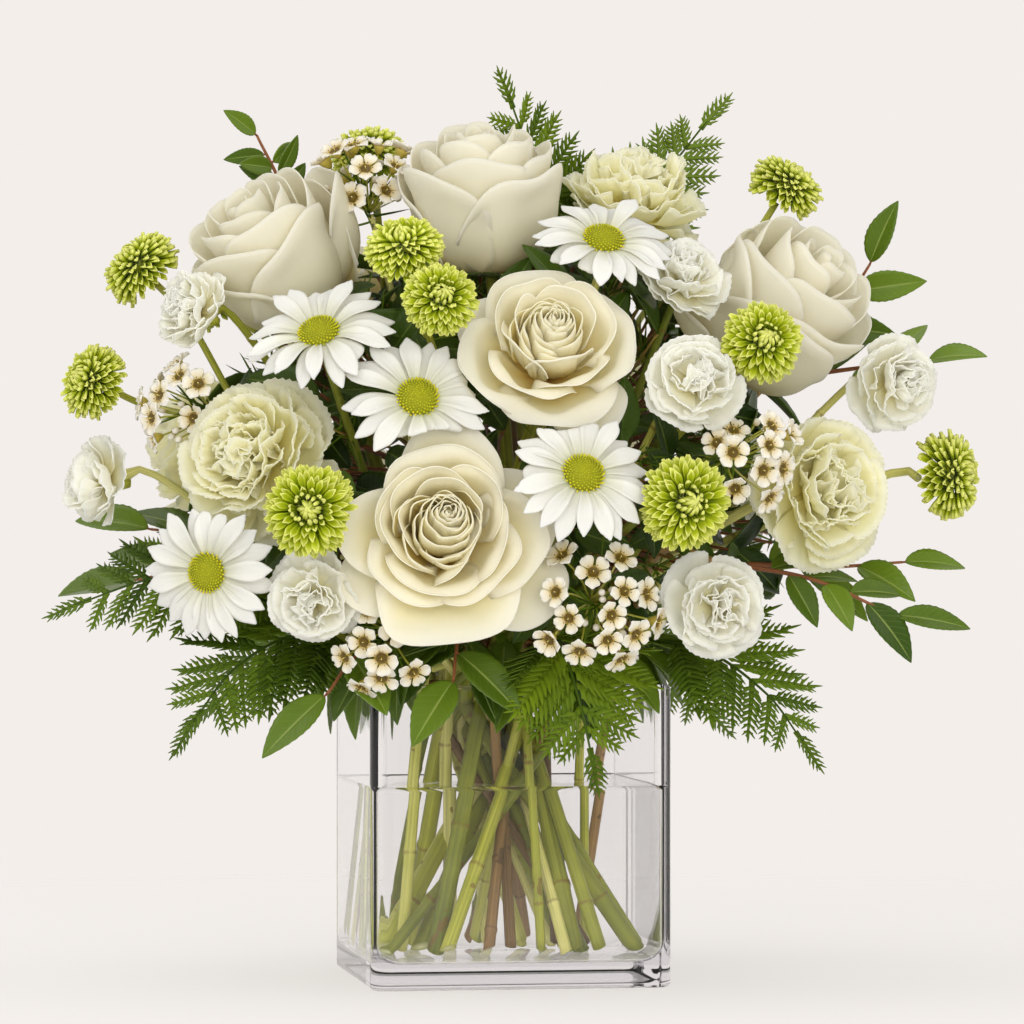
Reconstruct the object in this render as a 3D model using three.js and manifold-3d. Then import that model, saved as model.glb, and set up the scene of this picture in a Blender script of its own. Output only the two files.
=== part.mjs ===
// A table centerpiece: a clear glass cube vase of water holding a domed, all-round bouquet of cream roses,
// carnations, white daisies, green button poms and waxflower, collared with fern and glossy leafy shoots.
// Millimetres, +Z up. The origin is the centre of the vase's flat underside, and the front is towards -Y.
import * as THREE from 'three';
import { mergeVertices } from 'three/addons/utils/BufferGeometryUtils.js';
import Module from 'manifold-3d';

const wasm = await Module();
wasm.setup();
const { Manifold } = wasm;

// ---------------------------------------------------------------- driving dimensions

const VASE = { width: 127, height: 127, wall: 4.5, floor: 11, corner: 7, innerCorner: 4 };
const WATER_LEVEL = 84;
const GAP = 0.3; // kept between pieces that touch
const KEEP_OFF = 1; // how far bent petals and leaves stay from the head that they make room for

// Each head: the middle of the bloom in mm, the way it faces (turn from the front towards +X, rise above
// level) and its width. Earlier heads keep their shape, and later ones bend round them.
const ROSES = [
  { name: 'rose_front', at: [-44, -126, 189], turn: -8, rise: 7, width: 84, open: 1, spin: 20 },
  { name: 'rose_centre', at: [2, -114, 266], turn: -3, rise: 30, width: 74, open: 0.8, spin: 80 },
  { name: 'rose_top', at: [-15, -46, 334], turn: -30, rise: 72, width: 68, open: 0.3, spin: 150 },
  { name: 'rose_left', at: [-102, -27, 310], turn: -60, rise: 48, width: 68, open: 0.3, spin: 35 },
  { name: 'rose_right', at: [114, -52, 288], turn: 45, rise: 38, width: 74, open: 0.4, spin: 250 },
  { name: 'rose_back_high', at: [-62, 84, 294], turn: -146, rise: 40, width: 72, open: 0.6, spin: 10 },
  { name: 'rose_back_right', at: [58, 112, 250], turn: 158, rise: 22, width: 78, open: 0.9, spin: 120 },
  { name: 'rose_back_low', at: [-56, 122, 198], turn: -160, rise: 6, width: 78, open: 0.8, spin: 200 },
];
const CARNATIONS = [
  { name: 'carnation_left', at: [-118, -72, 222], turn: -36, rise: 8, width: 64, spin: 0 },
  { name: 'carnation_right', at: [124, -92, 208], turn: 22, rise: 2, width: 62, spin: 40 },
  { name: 'carnation_top', at: [56, -20, 338], turn: 25, rise: 66, width: 60, spin: 90 },
  { name: 'carnation_back_top', at: [22, 66, 318], turn: 165, rise: 58, width: 60, spin: 20 },
  { name: 'carnation_back_left', at: [-128, 52, 230], turn: -112, rise: 12, width: 62, spin: 70 },
];
const DAISIES = [
  { name: 'daisy_centre', at: [12, -140, 214], turn: 4, rise: 28, width: 60, spin: 11 },
  { name: 'daisy_middle', at: [-52, -117, 245], turn: -2, rise: 26, width: 60, spin: 7 },
  { name: 'daisy_upper_left', at: [-90, -99, 272], turn: -24, rise: 44, width: 60, spin: 0 },
  { name: 'daisy_upper', at: [28, -97, 311], turn: 4, rise: 48, width: 60, spin: 3 },
  { name: 'daisy_left_low', at: [-134, -82, 174], turn: -34, rise: -4, width: 58, spin: 5 },
  { name: 'daisy_back', at: [-2, 122, 290], turn: 178, rise: 32, width: 58, spin: 2, whole: true },
  { name: 'daisy_back_right', at: [122, 84, 214], turn: 126, rise: 8, width: 60, spin: 9, whole: true },
  { name: 'daisy_back_low', at: [24, 128, 180], turn: 172, rise: -6, width: 58, spin: 14, whole: true },
];
// A pom node is one stem of the spray: its heads, and the branches that fork below them.
const POMS = [
  { name: 'poms_left', fork: [-110, -8, 236], heads: [
    { at: [-154, -6, 302], turn: -78, rise: 46, width: 34 },
    { at: [-174, -6, 254], turn: -66, rise: 20, width: 32 }] },
  { name: 'poms_upper', fork: [-32, -70, 250], heads: [
    { at: [-54, -92, 306], turn: -24, rise: 56, width: 32 },
    { at: [-44, -124, 284], turn: 4, rise: 20, width: 30 }] },
  { name: 'pom_centre_right', heads: [{ at: [90, -116, 268], turn: 6, rise: 16, width: 33 }] },
  { name: 'poms_right_high', fork: [70, 14, 252], heads: [
    { at: [120, -24, 338], turn: 60, rise: 56, width: 32 },
    { at: [84, 62, 300], turn: 132, rise: 44, width: 34 }] },
  { name: 'pom_right_far', heads: [{ at: [184, -50, 215], turn: 62, rise: 6, width: 37 }] },
  { name: 'pom_front_left', heads: [{ at: [-97, -128, 199], turn: -12, rise: 2, width: 37 }] },
  { name: 'pom_front_right', heads: [{ at: [52, -146, 202], turn: 10, rise: 2, width: 37 }] },
  { name: 'poms_back', fork: [-42, 34, 248], heads: [
    { at: [-56, 10, 352], turn: -150, rise: 74, width: 32 },
    { at: [-118, 44, 294], turn: -112, rise: 40, width: 34 }] },
];
const MINIS = [
  { name: 'mini_left_high', at: [-140, -52, 284], turn: -60, rise: 20, width: 37, spin: 0 },
  { name: 'mini_left_far', at: [-176, -4, 212], turn: -82, rise: 2, width: 37, spin: 30 },
  { name: 'mini_front_left', at: [-94, -104, 162], turn: -22, rise: -14, width: 37, spin: 60 },
  { name: 'mini_centre_right', at: [62, -126, 252], turn: 8, rise: 8, width: 41, spin: 90 },
  { name: 'mini_right_far', at: [162, -62, 254], turn: 30, rise: 4, width: 39, spin: 120 },
  { name: 'mini_front_right', at: [72, -120, 160], turn: 4, rise: -6, width: 40, spin: 150 },
  { name: 'mini_upper_right', at: [64, -88, 298], turn: 12, rise: 42, width: 38, spin: 180 },
];
const WAXFLOWERS = [
  { name: 'waxflower_top_left', at: [-66, -22, 348], turn: -50, rise: 66, spread: 20, flowers: 6 },
  { name: 'waxflower_left', at: [-146, -38, 246], turn: -62, rise: 14, spread: 15, flowers: 4 },
  { name: 'waxflower_right', at: [84, -130, 224], turn: 18, rise: 10, spread: 15, flowers: 4 },
  { name: 'waxflower_front_right', at: [22, -128, 158], turn: 2, rise: -10, spread: 19, flowers: 6 },
  { name: 'waxflower_front_left', at: [-66, -104, 142], turn: -18, rise: -20, spread: 15, flowers: 4 },
  { name: 'waxflower_back', at: [96, 104, 166], turn: 142, rise: -6, spread: 19, flowers: 4 },
];
// A fern node is one or two fronds from one stem: each rib is a list of points, root first.
const FERNS = [
  { name: 'ferns_left', fronds: [
    { rib: [[-46, -4, 150], [-100, -14, 174], [-146, -12, 172], [-182, 0, 160]], reach: 42, pairs: 3 },
    { rib: [[-46, -4, 150], [-90, -30, 148], [-118, -40, 134], [-136, -46, 112]], reach: 44, pairs: 3 }] },
  { name: 'fern_front', fronds: [
    { rib: [[4, -54, 150], [12, -82, 144], [18, -94, 122], [23, -97, 98]], reach: 32, pairs: 3 }] },
  { name: 'fern_right', fronds: [
    { rib: [[44, -44, 146], [74, -70, 142], [98, -86, 124], [112, -94, 104]], reach: 38, pairs: 3 }] },
  { name: 'ferns_top', fronds: [
    { rib: [[18, 26, 270], [20, 16, 320], [14, 8, 352], [4, 0, 378]], reach: 30, pairs: 3 },
    { rib: [[18, 26, 270], [50, 38, 316], [78, 30, 348], [96, 20, 372]], reach: 32, pairs: 3 }] },
  { name: 'ferns_back', fronds: [
    { rib: [[6, 50, 150], [50, 84, 146], [90, 106, 130], [116, 114, 108]], reach: 42, pairs: 3 },
    { rib: [[6, 50, 150], [-40, 88, 150], [-82, 108, 136], [-114, 114, 112]], reach: 42, pairs: 3 }] },
];
// A leafy shoot: twigs from one stem, each a line of points with leaves in turn on both sides.
const SHOOTS = [
  { name: 'shoot_top_left', twigs: [
    { points: [[-84, 18, 290], [-94, 12, 322], [-106, 6, 342]], leaves: 5, leaf: 24 }] },
  { name: 'shoot_right_high', twigs: [
    { points: [[128, -4, 258], [148, -12, 288], [158, -20, 306]], leaves: 5, leaf: 30 },
    { points: [[128, -4, 258], [158, -20, 262], [180, -32, 264]], leaves: 4, leaf: 30 }] },
  { name: 'shoot_right_low', twigs: [
    { points: [[84, -58, 178], [120, -76, 171], [152, -90, 156]], leaves: 5, leaf: 27 },
    { points: [[84, -58, 178], [130, -50, 176], [164, -54, 178]], leaves: 4, leaf: 32 }] },
  { name: 'shoot_rim_front', twigs: [
    { points: [[-22, -52, 148], [-30, -80, 146], [-34, -94, 130]], leaves: 4, leaf: 34 },
    { points: [[-22, -52, 148], [-66, -66, 142], [-84, -76, 124]], leaves: 4, leaf: 34 }] },
  { name: 'shoot_back', twigs: [
    { points: [[-62, 40, 176], [-108, 70, 178], [-148, 84, 170]], leaves: 5, leaf: 34 },
    { points: [[-62, 40, 176], [-112, 24, 188], [-148, 22, 192]], leaves: 4, leaf: 34 }] },
];

const glassy = { roughness: 0.02, metalness: 0, transparent: true, opacity: 0.35 };
const MATERIALS = {
  glass: () => new THREE.MeshStandardMaterial({ color: 0xe9eef0, ...glassy }),
  water: () => new THREE.MeshStandardMaterial({ color: 0xe6eeee, ...glassy }),
  stem: () => new THREE.MeshStandardMaterial({ color: 0x7d9440, roughness: 0.5, metalness: 0 }),
  rose: () => new THREE.MeshStandardMaterial({ color: 0xf6efd9, roughness: 0.55, metalness: 0 }),
  carnation: () => new THREE.MeshStandardMaterial({ color: 0xf7f1d2, roughness: 0.7, metalness: 0 }),
  daisy: () => new THREE.MeshStandardMaterial({ color: 0xfafaf7, roughness: 0.6, metalness: 0 }),
  disc: () => new THREE.MeshStandardMaterial({ color: 0xa8b41e, roughness: 0.8, metalness: 0 }),
  pom: () => new THREE.MeshStandardMaterial({ color: 0x9bc026, roughness: 0.6, metalness: 0 }),
  mini: () => new THREE.MeshStandardMaterial({ color: 0xf8f7f0, roughness: 0.7, metalness: 0 }),
  waxflower: () => new THREE.MeshStandardMaterial({ color: 0xf3ecdf, roughness: 0.5, metalness: 0 }),
  fern: () => new THREE.MeshStandardMaterial({ color: 0x3f7a26, roughness: 0.5, metalness: 0 }),
  leaf: () => new THREE.MeshStandardMaterial({ color: 0x3d7430, roughness: 0.35, metalness: 0 }),
};

// ---------------------------------------------------------------- vectors and solids

const GOLDEN_ANGLE = 137.508;
const UP = new THREE.Vector3(0, 0, 1);
const rad = THREE.MathUtils.degToRad;
const vec = (point) => new THREE.Vector3(...point);
const mix = (low, high, share) => low + (high - low) * share;

// A repeatable draw from 0 to 1 for each seed and index.
function draw(seed, index) {
  const wave = Math.sin(seed * 12.9898 + index * 78.233) * 43758.5453;
  return wave - Math.floor(wave);
}

// A point at a distance from the +Z axis, an angle round it and a height.
function polar(distance, angle, height) {
  return new THREE.Vector3(distance * Math.cos(angle), distance * Math.sin(angle), height);
}

// The unit vector of a turn from the front towards +X and a rise above level.
function towards(turn, rise) {
  return polar(Math.cos(rad(rise)), rad(turn - 90), Math.sin(rad(rise)));
}

function closedSolid(points, faces) {
  return new Manifold(new wasm.Mesh({
    numProp: 3,
    vertProperties: new Float32Array(points.flatMap((p) => p.toArray())),
    triVerts: new Uint32Array(faces.flat()),
  }));
}

function solidOf(geometry) {
  const bare = geometry.clone();
  bare.deleteAttribute('normal');
  bare.deleteAttribute('uv');
  const merged = mergeVertices(bare, 1e-4);
  return new Manifold(new wasm.Mesh({
    numProp: 3,
    vertProperties: new Float32Array(merged.attributes.position.array),
    triVerts: new Uint32Array(merged.index.array),
  }));
}

function geometryOf(solid) {
  const mesh = solid.getMesh();
  const positions = new Float32Array(mesh.numVert * 3);
  for (let i = 0; i < mesh.numVert; i++) {
    positions.set(mesh.vertProperties.subarray(i * mesh.numProp, i * mesh.numProp + 3), i * 3);
  }
  const geometry = new THREE.BufferGeometry();
  geometry.setAttribute('position', new THREE.BufferAttribute(positions, 3));
  geometry.setIndex(new THREE.BufferAttribute(new Uint32Array(mesh.triVerts), 1));
  geometry.computeVertexNormals();
  return geometry;
}

const fuse = (solids) => Manifold.union(solids);

function largestBody(solid) {
  return solid.decompose().sort((a, b) => b.volume() - a.volume())[0];
}

// Both sides of a blade round its middle surface, each point moved out along the surface's normal there.
function bladeSides(points, sheet, thickness) {
  const normals = points.map(() => new THREE.Vector3());
  for (const [a, b, c] of sheet) {
    const normal = points[b].clone().sub(points[a]).cross(points[c].clone().sub(points[a])).normalize();
    [a, b, c].forEach((corner) => normals[corner].add(normal));
  }
  normals.forEach((normal) => normal.normalize());
  return [thickness / 2, -thickness / 2].map((offset) => (
    points.map((p, i) => p.clone().addScaledVector(normals[i], offset))));
}

// The faces of a blade: the sheet on its outer and inner points, and a wall round it but for its root edge.
function bladeFaces(sheet, outer, inner, root) {
  const edges = sheet.flatMap(([a, b, c]) => [[a, b], [b, c], [c, a]]);
  const known = new Set(edges.map(([from, to]) => `${from},${to}`));
  const faces = sheet.flatMap(([a, b, c]) => (
    [[outer[a], outer[b], outer[c]], [inner[a], inner[c], inner[b]]]));
  for (const [from, to] of edges) {
    if (!known.has(`${to},${from}`) && `${from},${to}` !== root) {
      faces.push([outer[to], outer[from], inner[from]], [outer[to], inner[from], inner[to]]);
    }
  }
  return faces;
}

function blade(points, sheet, thickness) {
  const n = points.length;
  const outer = points.map((_, i) => i);
  const inner = outer.map((i) => i + n);
  return closedSolid(bladeSides(points, sheet, thickness).flat(), bladeFaces(sheet, outer, inner));
}

// The faces that join rows of points, the root's row first; the rows needn't be equally long.
function stitched(rows) {
  const faces = [];
  let low = 0;
  for (let r = 0; r + 1 < rows.length; r++) {
    const high = low + rows[r].length;
    const lowSpan = rows[r].length - 1;
    const highSpan = rows[r + 1].length - 1;
    let i = 0;
    let j = 0;
    while (i < lowSpan || j < highSpan) {
      if (j < highSpan && (i === lowSpan || (j + 1) * lowSpan <= (i + 1) * highSpan)) {
        faces.push([low + i, high + j + 1, high + j]);
        j += 1;
      } else {
        faces.push([low + i, low + i + 1, high + j]);
        i += 1;
      }
    }
    low = high;
  }
  return faces;
}

// A stack of rings of points between a point below and a point above, with petals grown out of its sides.
// Each petal takes the place of the face at its band and column, so the whole is one skin.
function growth(bottom, rings, top, petals = [], thickness = 0) {
  const n = rings[0].length;
  const points = [bottom, ...rings.flat(), top];
  const at = (ring, column) => 1 + ring * n + column % n;
  const taken = new Set(petals.map(({ band, column }) => `${band},${column}`));
  const last = points.length - 1;
  const faces = [];
  for (let i = 0; i < n; i++) {
    faces.push([0, at(0, i + 1), at(0, i)], [at(rings.length - 1, i), at(rings.length - 1, i + 1), last]);
    for (let r = 0; r + 1 < rings.length; r++) {
      const [a, b, c, d] = [at(r, i), at(r, i + 1), at(r + 1, i + 1), at(r + 1, i)];
      if (taken.has(`${r},${i}`)) {
        continue;
      }
      faces.push(...((r + i) % 2 ? [[a, b, c], [a, c, d]] : [[a, b, d], [b, c, d]]));
    }
  }
  for (const { band, column, rows } of petals) {
    const outerRoot = [at(band, column), at(band, column + 1)];
    const innerRoot = [at(band + 1, column), at(band + 1, column + 1)];
    const root = outerRoot.map((corner, k) => points[corner].clone().lerp(points[innerRoot[k]], 0.5));
    const sheet = stitched([root, ...rows]);
    const [outer, inner] = bladeSides([root, ...rows].flat(), sheet, thickness);
    const outerPlaces = [...outerRoot, ...outer.slice(2).map((p) => points.push(p) - 1)];
    const innerPlaces = [...innerRoot, ...inner.slice(2).map((p) => points.push(p) - 1)];
    faces.push(...bladeFaces(sheet, outerPlaces, innerPlaces, '0,1'));
  }
  return closedSolid(points, faces);
}

// A rod along a curve of points.
function rod(points, radius, sides, steps) {
  const outline = new THREE.Shape(Array.from({ length: sides }, (_, i) => (
    new THREE.Vector2(radius, 0).rotateAround(new THREE.Vector2(), 2 * Math.PI * i / sides))));
  const path = points.length > 2 ? new THREE.CatmullRomCurve3(points) : new THREE.LineCurve3(...points);
  return solidOf(new THREE.ExtrudeGeometry(outline, { steps, bevelEnabled: false, extrudePath: path }));
}

// ---------------------------------------------------------------- how heads stand and make room

// Each kind's ball: its half depth and the height of its middle above its base, as shares of its width.
const BALL = {
  rose: (head) => ({ depth: mix(0.36, 0.27, head.open), middle: mix(0.35, 0.25, head.open) }),
  carnation: () => ({ depth: 0.3, middle: 0.25 }),
  mini: () => ({ depth: 0.3, middle: 0.25 }),
  daisy: () => ({ depth: 0.09, middle: 0.02 }),
  pom: () => ({ depth: 0.42, middle: 0.32 }),
};

const NEARBY = 8; // the widest gap between two balls across which one head still makes room for the other
const standing = [];

// Stands a head's own frame, +Z along its facing, on its base, and says where its points go.
function stand(kind, head) {
  const { depth, middle } = BALL[kind](head);
  const facing = towards(head.turn, head.rise);
  const centre = vec(head.at);
  const base = centre.clone().addScaledVector(facing, -middle * head.width);
  const spin = new THREE.Quaternion().setFromAxisAngle(UP, rad(head.spin ?? 0));
  const aim = new THREE.Quaternion().setFromUnitVectors(UP, facing).multiply(spin);
  const ball = { centre, facing, radius: head.width / 2, depth: depth * head.width };
  const reach = ball.radius + NEARBY;
  const others = standing.filter((other) => other.centre.distanceTo(centre) < other.radius + reach);
  const heart = base.clone().addScaledVector(facing, Math.min(0.08, middle) * head.width);
  const fixed = (point) => point.clone().applyQuaternion(aim).add(base);
  const place = (point, anchor = heart) => bentClear(fixed(point), anchor, others, KEEP_OFF);
  return { place, fixed, ball, base, facing };
}

function fills(ball, point, margin) {
  const offset = point.clone().sub(ball.centre);
  const along = offset.dot(ball.facing);
  const across = Math.sqrt(Math.max(offset.lengthSq() - along * along, 0));
  return (along / (ball.depth + margin)) ** 2 + (across / (ball.radius + margin)) ** 2 < 1;
}

// Draws a point back towards the heart of its own head until it is clear of the other balls.
function bentClear(point, heart, balls, margin) {
  for (let step = 0; step < 40 && balls.some((ball) => fills(ball, point, margin)); step++) {
    point.lerp(heart, 0.04);
  }
  return point;
}

// ---------------------------------------------------------------- vase and water

function roundedBlock(width, corner, low, high) {
  const half = width / 2;
  const outline = new THREE.Shape();
  outline.moveTo(-half + corner, -half);
  outline.lineTo(half - corner, -half);
  outline.absarc(half - corner, -half + corner, corner, -Math.PI / 2, 0);
  outline.absarc(half - corner, half - corner, corner, 0, Math.PI / 2);
  outline.absarc(-half + corner, half - corner, corner, Math.PI / 2, Math.PI);
  outline.absarc(-half + corner, -half + corner, corner, Math.PI, Math.PI * 1.5);
  const extrusion = { depth: high - low, bevelEnabled: false, curveSegments: 2 };
  return solidOf(new THREE.ExtrudeGeometry(outline, extrusion).translate(0, 0, low));
}

function vase() {
  const inside = VASE.width - 2 * VASE.wall;
  return roundedBlock(VASE.width, VASE.corner, 0, VASE.height)
    .subtract(roundedBlock(inside, VASE.innerCorner, VASE.floor, VASE.height + 1));
}

// The water has a plain hole round each stem that stands in it.
function water(stemHoles) {
  const width = VASE.width - 2 * VASE.wall - 2 * GAP;
  const block = roundedBlock(width, VASE.innerCorner - GAP, VASE.floor + GAP, WATER_LEVEL);
  return largestBody(block.subtract(stemHoles));
}

// ---------------------------------------------------------------- roses

// Each whorl: its petals' columns round the core, half the angle that one spans, and the profile of its
// middle line as shares of the width, out from the axis and up, for a blown bloom and for a fresh one.
const ROSE_WHORLS = [
  { columns: [0, 2, 4, 6, 8], half: 46,
    blown: [[0.27, 0.1], [0.43, 0.23], [0.49, 0.22]], fresh: [[0.24, 0.12], [0.36, 0.44], [0.49, 0.5]] },
  { columns: [1, 3, 5, 7, 9], half: 41,
    blown: [[0.23, 0.24], [0.34, 0.42]], fresh: [[0.22, 0.3], [0.3, 0.62]] },
  { columns: [0, 3, 7], half: 58,
    blown: [[0.14, 0.32], [0.19, 0.48]], fresh: [[0.14, 0.4], [0.15, 0.7]] },
];
// The rings of the core, out from the axis and up: three bands for the whorls, then the bud.
const ROSE_CORE = [[0.09, 0], [0.1, 0.05], [0.1, 0.11], [0.09, 0.17], [0.055, 0.36]];
const ROSE = { thickness: 0.9, lap: 0.03, sides: 10, budTop: 0.48 };

function roseRows(whorl, open, width, column, place) {
  const last = whorl.blown.length - 1;
  return whorl.blown.map(([out, up], r) => {
    const distance = width * mix(whorl.fresh[r][0], out, open);
    const height = width * mix(whorl.fresh[r][1], up, open);
    const stations = r === last ? [-0.5, 0.5] : r === 0 ? [-1, 0, 1] : [-1, -0.33, 0.33, 1];
    return stations.map((across) => {
      const lap = ROSE.lap * width * across;
      const angle = 2 * Math.PI * (column + 0.5) / ROSE.sides + rad(across * whorl.half);
      return place(polar(distance + lap, angle, height - lap));
    });
  });
}

function rose({ width, open }, { place, fixed }) {
  const tall = mix(1.5, 1, open);
  const rings = ROSE_CORE.map(([out, up], r) => Array.from({ length: ROSE.sides }, (_, i) => {
    const fold = r === ROSE_CORE.length - 1 && i % 2 ? 0.6 : 1;
    return fixed(polar(out * fold * width, 2 * Math.PI * i / ROSE.sides, up * (r > 3 ? tall : 1) * width));
  }));
  const petals = ROSE_WHORLS.flatMap((whorl, band) => whorl.columns.map((column) => (
    { band, column, rows: roseRows(whorl, open, width, column, place) })));
  const top = fixed(new THREE.Vector3(0, 0, ROSE.budTop * tall * width));
  return growth(fixed(new THREE.Vector3()), rings, top, petals, ROSE.thickness);
}

// ---------------------------------------------------------------- carnations, large and small

// Each whorl of ruffled fans: their columns round the core, how far they lean out, half the angle that one
// spans, and their reach as a share of the width.
const CARNATION_WHORLS = [
  { columns: [0, 2, 4, 6, 8], lean: 96, half: 34, reach: 0.5 },
  { columns: [1, 3, 5, 7, 9], lean: 70, half: 33, reach: 0.49 },
  { columns: [0, 3, 7], lean: 44, half: 50, reach: 0.46 },
  { columns: [1, 6], lean: 20, half: 74, reach: 0.42 },
];
const MINI_WHORLS = [
  { columns: [0, 2, 4, 6, 8], lean: 88, half: 34, reach: 0.5 },
  { columns: [1, 4, 7], lean: 42, half: 50, reach: 0.46 },
];
const CARNATION = { thickness: 0.8, ruffle: 4.5, core: 0.07, band: 0.05, sides: 10 };

// The lip of a fan, which is a piece of a cone: its points stand up and down in turn, and in and out.
function carnationLip(whorl, width, steps, column, band, place) {
  return Array.from({ length: steps + 1 }, (_, c) => {
    const lean = rad(whorl.lean + (c % 2 ? -1 : 1) * CARNATION.ruffle);
    const reach = (whorl.reach - (c % 2 ? 0 : 0.04)) * width;
    const angle = 2 * Math.PI * (column + 0.5) / CARNATION.sides + rad((2 * c / steps - 1) * whorl.half);
    const root = (band + 0.5) * CARNATION.band * width;
    return place(polar(reach * Math.sin(lean), angle, root + reach * Math.cos(lean)));
  });
}

function carnation({ width }, whorls, steps, { place, fixed }) {
  const { core, band: rise, sides } = CARNATION;
  const taper = whorls.length;
  const rings = Array.from({ length: taper + 1 }, (_, r) => Array.from({ length: sides }, (__, i) => (
    fixed(polar(core * width * (1.2 - 0.5 * r / taper), 2 * Math.PI * i / sides, rise * r * width)))));
  const fans = whorls.flatMap((whorl, band) => whorl.columns.map((column) => (
    { band, column, rows: [carnationLip(whorl, width, steps, column, band, place)] })));
  const top = fixed(new THREE.Vector3(0, 0, (rise * taper + 0.03) * width));
  return growth(fixed(new THREE.Vector3()), rings, top, fans, CARNATION.thickness);
}

// ---------------------------------------------------------------- daisies

const DAISY = {
  rays: 16, rearRays: 12, thickness: 1, hub: 0.12, seat: 0.045,
  disc: 0.13, discHeight: 0.08, discSides: 8, discRings: [[1, 0], [0.9, 0.5], [0.45, 0.9]],
};

// One sheet: a hub with a ray from each of its sides, every other ray set a little higher. The hub of a
// whole bloom is raised into its disc, and the stem ends at the seat inside it.
function daisyRays(head, { place, fixed }) {
  const n = head.whole ? DAISY.rearRays : DAISY.rays;
  const spread = 2.7 / n;
  const at = (distance, angle, height, anchor) => place(
    polar(distance * head.width, angle, height * head.width), anchor);
  const points = [at(0, 0, head.whole ? DAISY.discHeight : 0)];
  const faces = [];
  for (let i = 0; i < n; i++) {
    points.push(at(DAISY.hub, 2 * Math.PI * i / n, 0));
  }
  for (let i = 0; i < n; i++) {
    const left = 1 + i;
    const right = 1 + (i + 1) % n;
    const middle = 2 * Math.PI * (i + 0.5) / n;
    const reach = 0.5 - 0.035 * draw(head.spin, i);
    const lift = i % 2 ? 0.03 : 0;
    const first = points.length;
    const root = fixed(polar((DAISY.hub + 0.02) * head.width, middle, 0));
    points.push(at(0.36, middle - spread, lift, root), at(0.36, middle + spread, lift, root));
    points.push(at(reach, middle, lift - 0.03, root));
    faces.push([0, left, right], [left, first, right], [right, first, first + 1]);
    faces.push([first, first + 2, first + 1]);
  }
  return blade(points, faces, DAISY.thickness);
}

// The dome of florets: every other point of its rings stands out.
function daisyDisc({ width }, { fixed }) {
  const lift = DAISY.thickness / 2 + GAP;
  const rings = DAISY.discRings.map(([out, up], r) => Array.from({ length: DAISY.discSides }, (_, i) => {
    const bump = r && (r + i) % 2 ? 1.08 : 0.95;
    const angle = 2 * Math.PI * i / DAISY.discSides;
    const height = lift + up * bump * DAISY.discHeight * width;
    return fixed(polar(out * bump * DAISY.disc * width, angle, height));
  }));
  const top = new THREE.Vector3(0, 0, lift + DAISY.discHeight * width);
  return growth(fixed(new THREE.Vector3(0, 0, lift)), rings, fixed(top));
}

// ---------------------------------------------------------------- button poms

const POM = { rows: 5, columns: 10, valley: 0.8, squash: 0.8, top: 0.33, branch: 1.5, neck: 18, sunk: 3 };

// A flattened ball whose florets stand out in staggered rows, each leaning up towards the middle.
function pomHead(head, { place }) {
  const { width } = head;
  const middle = BALL.pom().middle * width;
  const rings = Array.from({ length: POM.rows }, (_, r) => Array.from({ length: POM.columns }, (__, c) => {
    const floret = (r + c) % 2 === 0;
    const down = rad(146 - r * 29 - (floret ? 6 : 0));
    const reach = 0.5 * width * (floret ? 1 : POM.valley);
    const height = middle + reach * Math.cos(down) * POM.squash;
    return place(polar(reach * Math.sin(down), 2 * Math.PI * c / POM.columns, height));
  }));
  const top = new THREE.Vector3(0, 0, middle + POM.top * width);
  return growth(place(new THREE.Vector3()), rings, place(top));
}

// ---------------------------------------------------------------- waxflower

const WAX = { width: 13.5, twig: 0.75, stalk: 24, cup: 3.4 };

// A five-petalled cup on a thin stalk that ends in the knot at the root.
function waxBloom(place, root) {
  const outward = place.clone().sub(root).normalize();
  const aim = new THREE.Quaternion().setFromUnitVectors(UP, outward);
  const length = place.distanceTo(root);
  const rim = Array.from({ length: 5 }, (_, i) => [[-36, 0.45, 0], [-15, 1, 1], [15, 1, 1]]
    .map(([turn, reach, up]) => polar(WAX.width / 2 * reach, rad(72 * i + turn), up))).flat();
  const neck = Array.from({ length: 3 }, (_, i) => polar(WAX.twig, 2 * Math.PI * i / 3, -WAX.cup));
  const points = [...rim, new THREE.Vector3(0, 0, -0.6), ...neck, new THREE.Vector3(0, 0, -length)];
  const n = rim.length;
  const faces = rim.map((_, i) => [i, (i + 1) % n, n]);
  for (let k = 0; k < 3; k++) {
    const nextNeck = n + 1 + (k + 1) % 3;
    faces.push([n + 1 + k, n + 4, nextNeck]);
    for (let i = 5 * k; i < 5 * k + 5; i++) {
      faces.push([(i + 1) % n, i, n + 1 + k]);
    }
    faces.push([(5 * k + 5) % n, n + 1 + k, nextNeck]);
  }
  return closedSolid(points.map((p) => p.applyQuaternion(aim).add(place)), faces);
}

function waxflower(spray) {
  const facing = towards(spray.turn, spray.rise);
  const aim = new THREE.Quaternion().setFromUnitVectors(UP, facing);
  const centre = vec(spray.at);
  const root = centre.clone().addScaledVector(facing, -WAX.stalk);
  const knot = solidOf(new THREE.OctahedronGeometry(2.6, 0).translate(root.x, root.y, root.z));
  const blooms = Array.from({ length: spray.flowers }, (_, i) => {
    const reach = spray.spread * Math.sqrt((i + 0.1) / spray.flowers) * 1.05;
    const height = 2 - 0.25 * reach + 5 * draw(spray.spread, i);
    const spot = polar(reach, rad(GOLDEN_ANGLE * i + spray.turn), height).applyQuaternion(aim).add(centre);
    return waxBloom(bentClear(spot, root, standing, WAX.width / 2 - 0.5), root);
  });
  return largestBody(fuse([knot, ...blooms]));
}

// ---------------------------------------------------------------- ferns and leafy shoots

const FERN = { thickness: 0.8, rib: 0.9, leafy: 0.5, fill: 0.36, widest: 0.22 };
const LEAF = { thickness: 0.8, twig: 1.2, width: 0.22, fold: 0.3 };
const LEAN = { along: 0.62, across: 0.78 }; // the way of a side blade
const DROOP = 0.12; // how far a blade's tip hangs, as a share of its length

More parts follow.
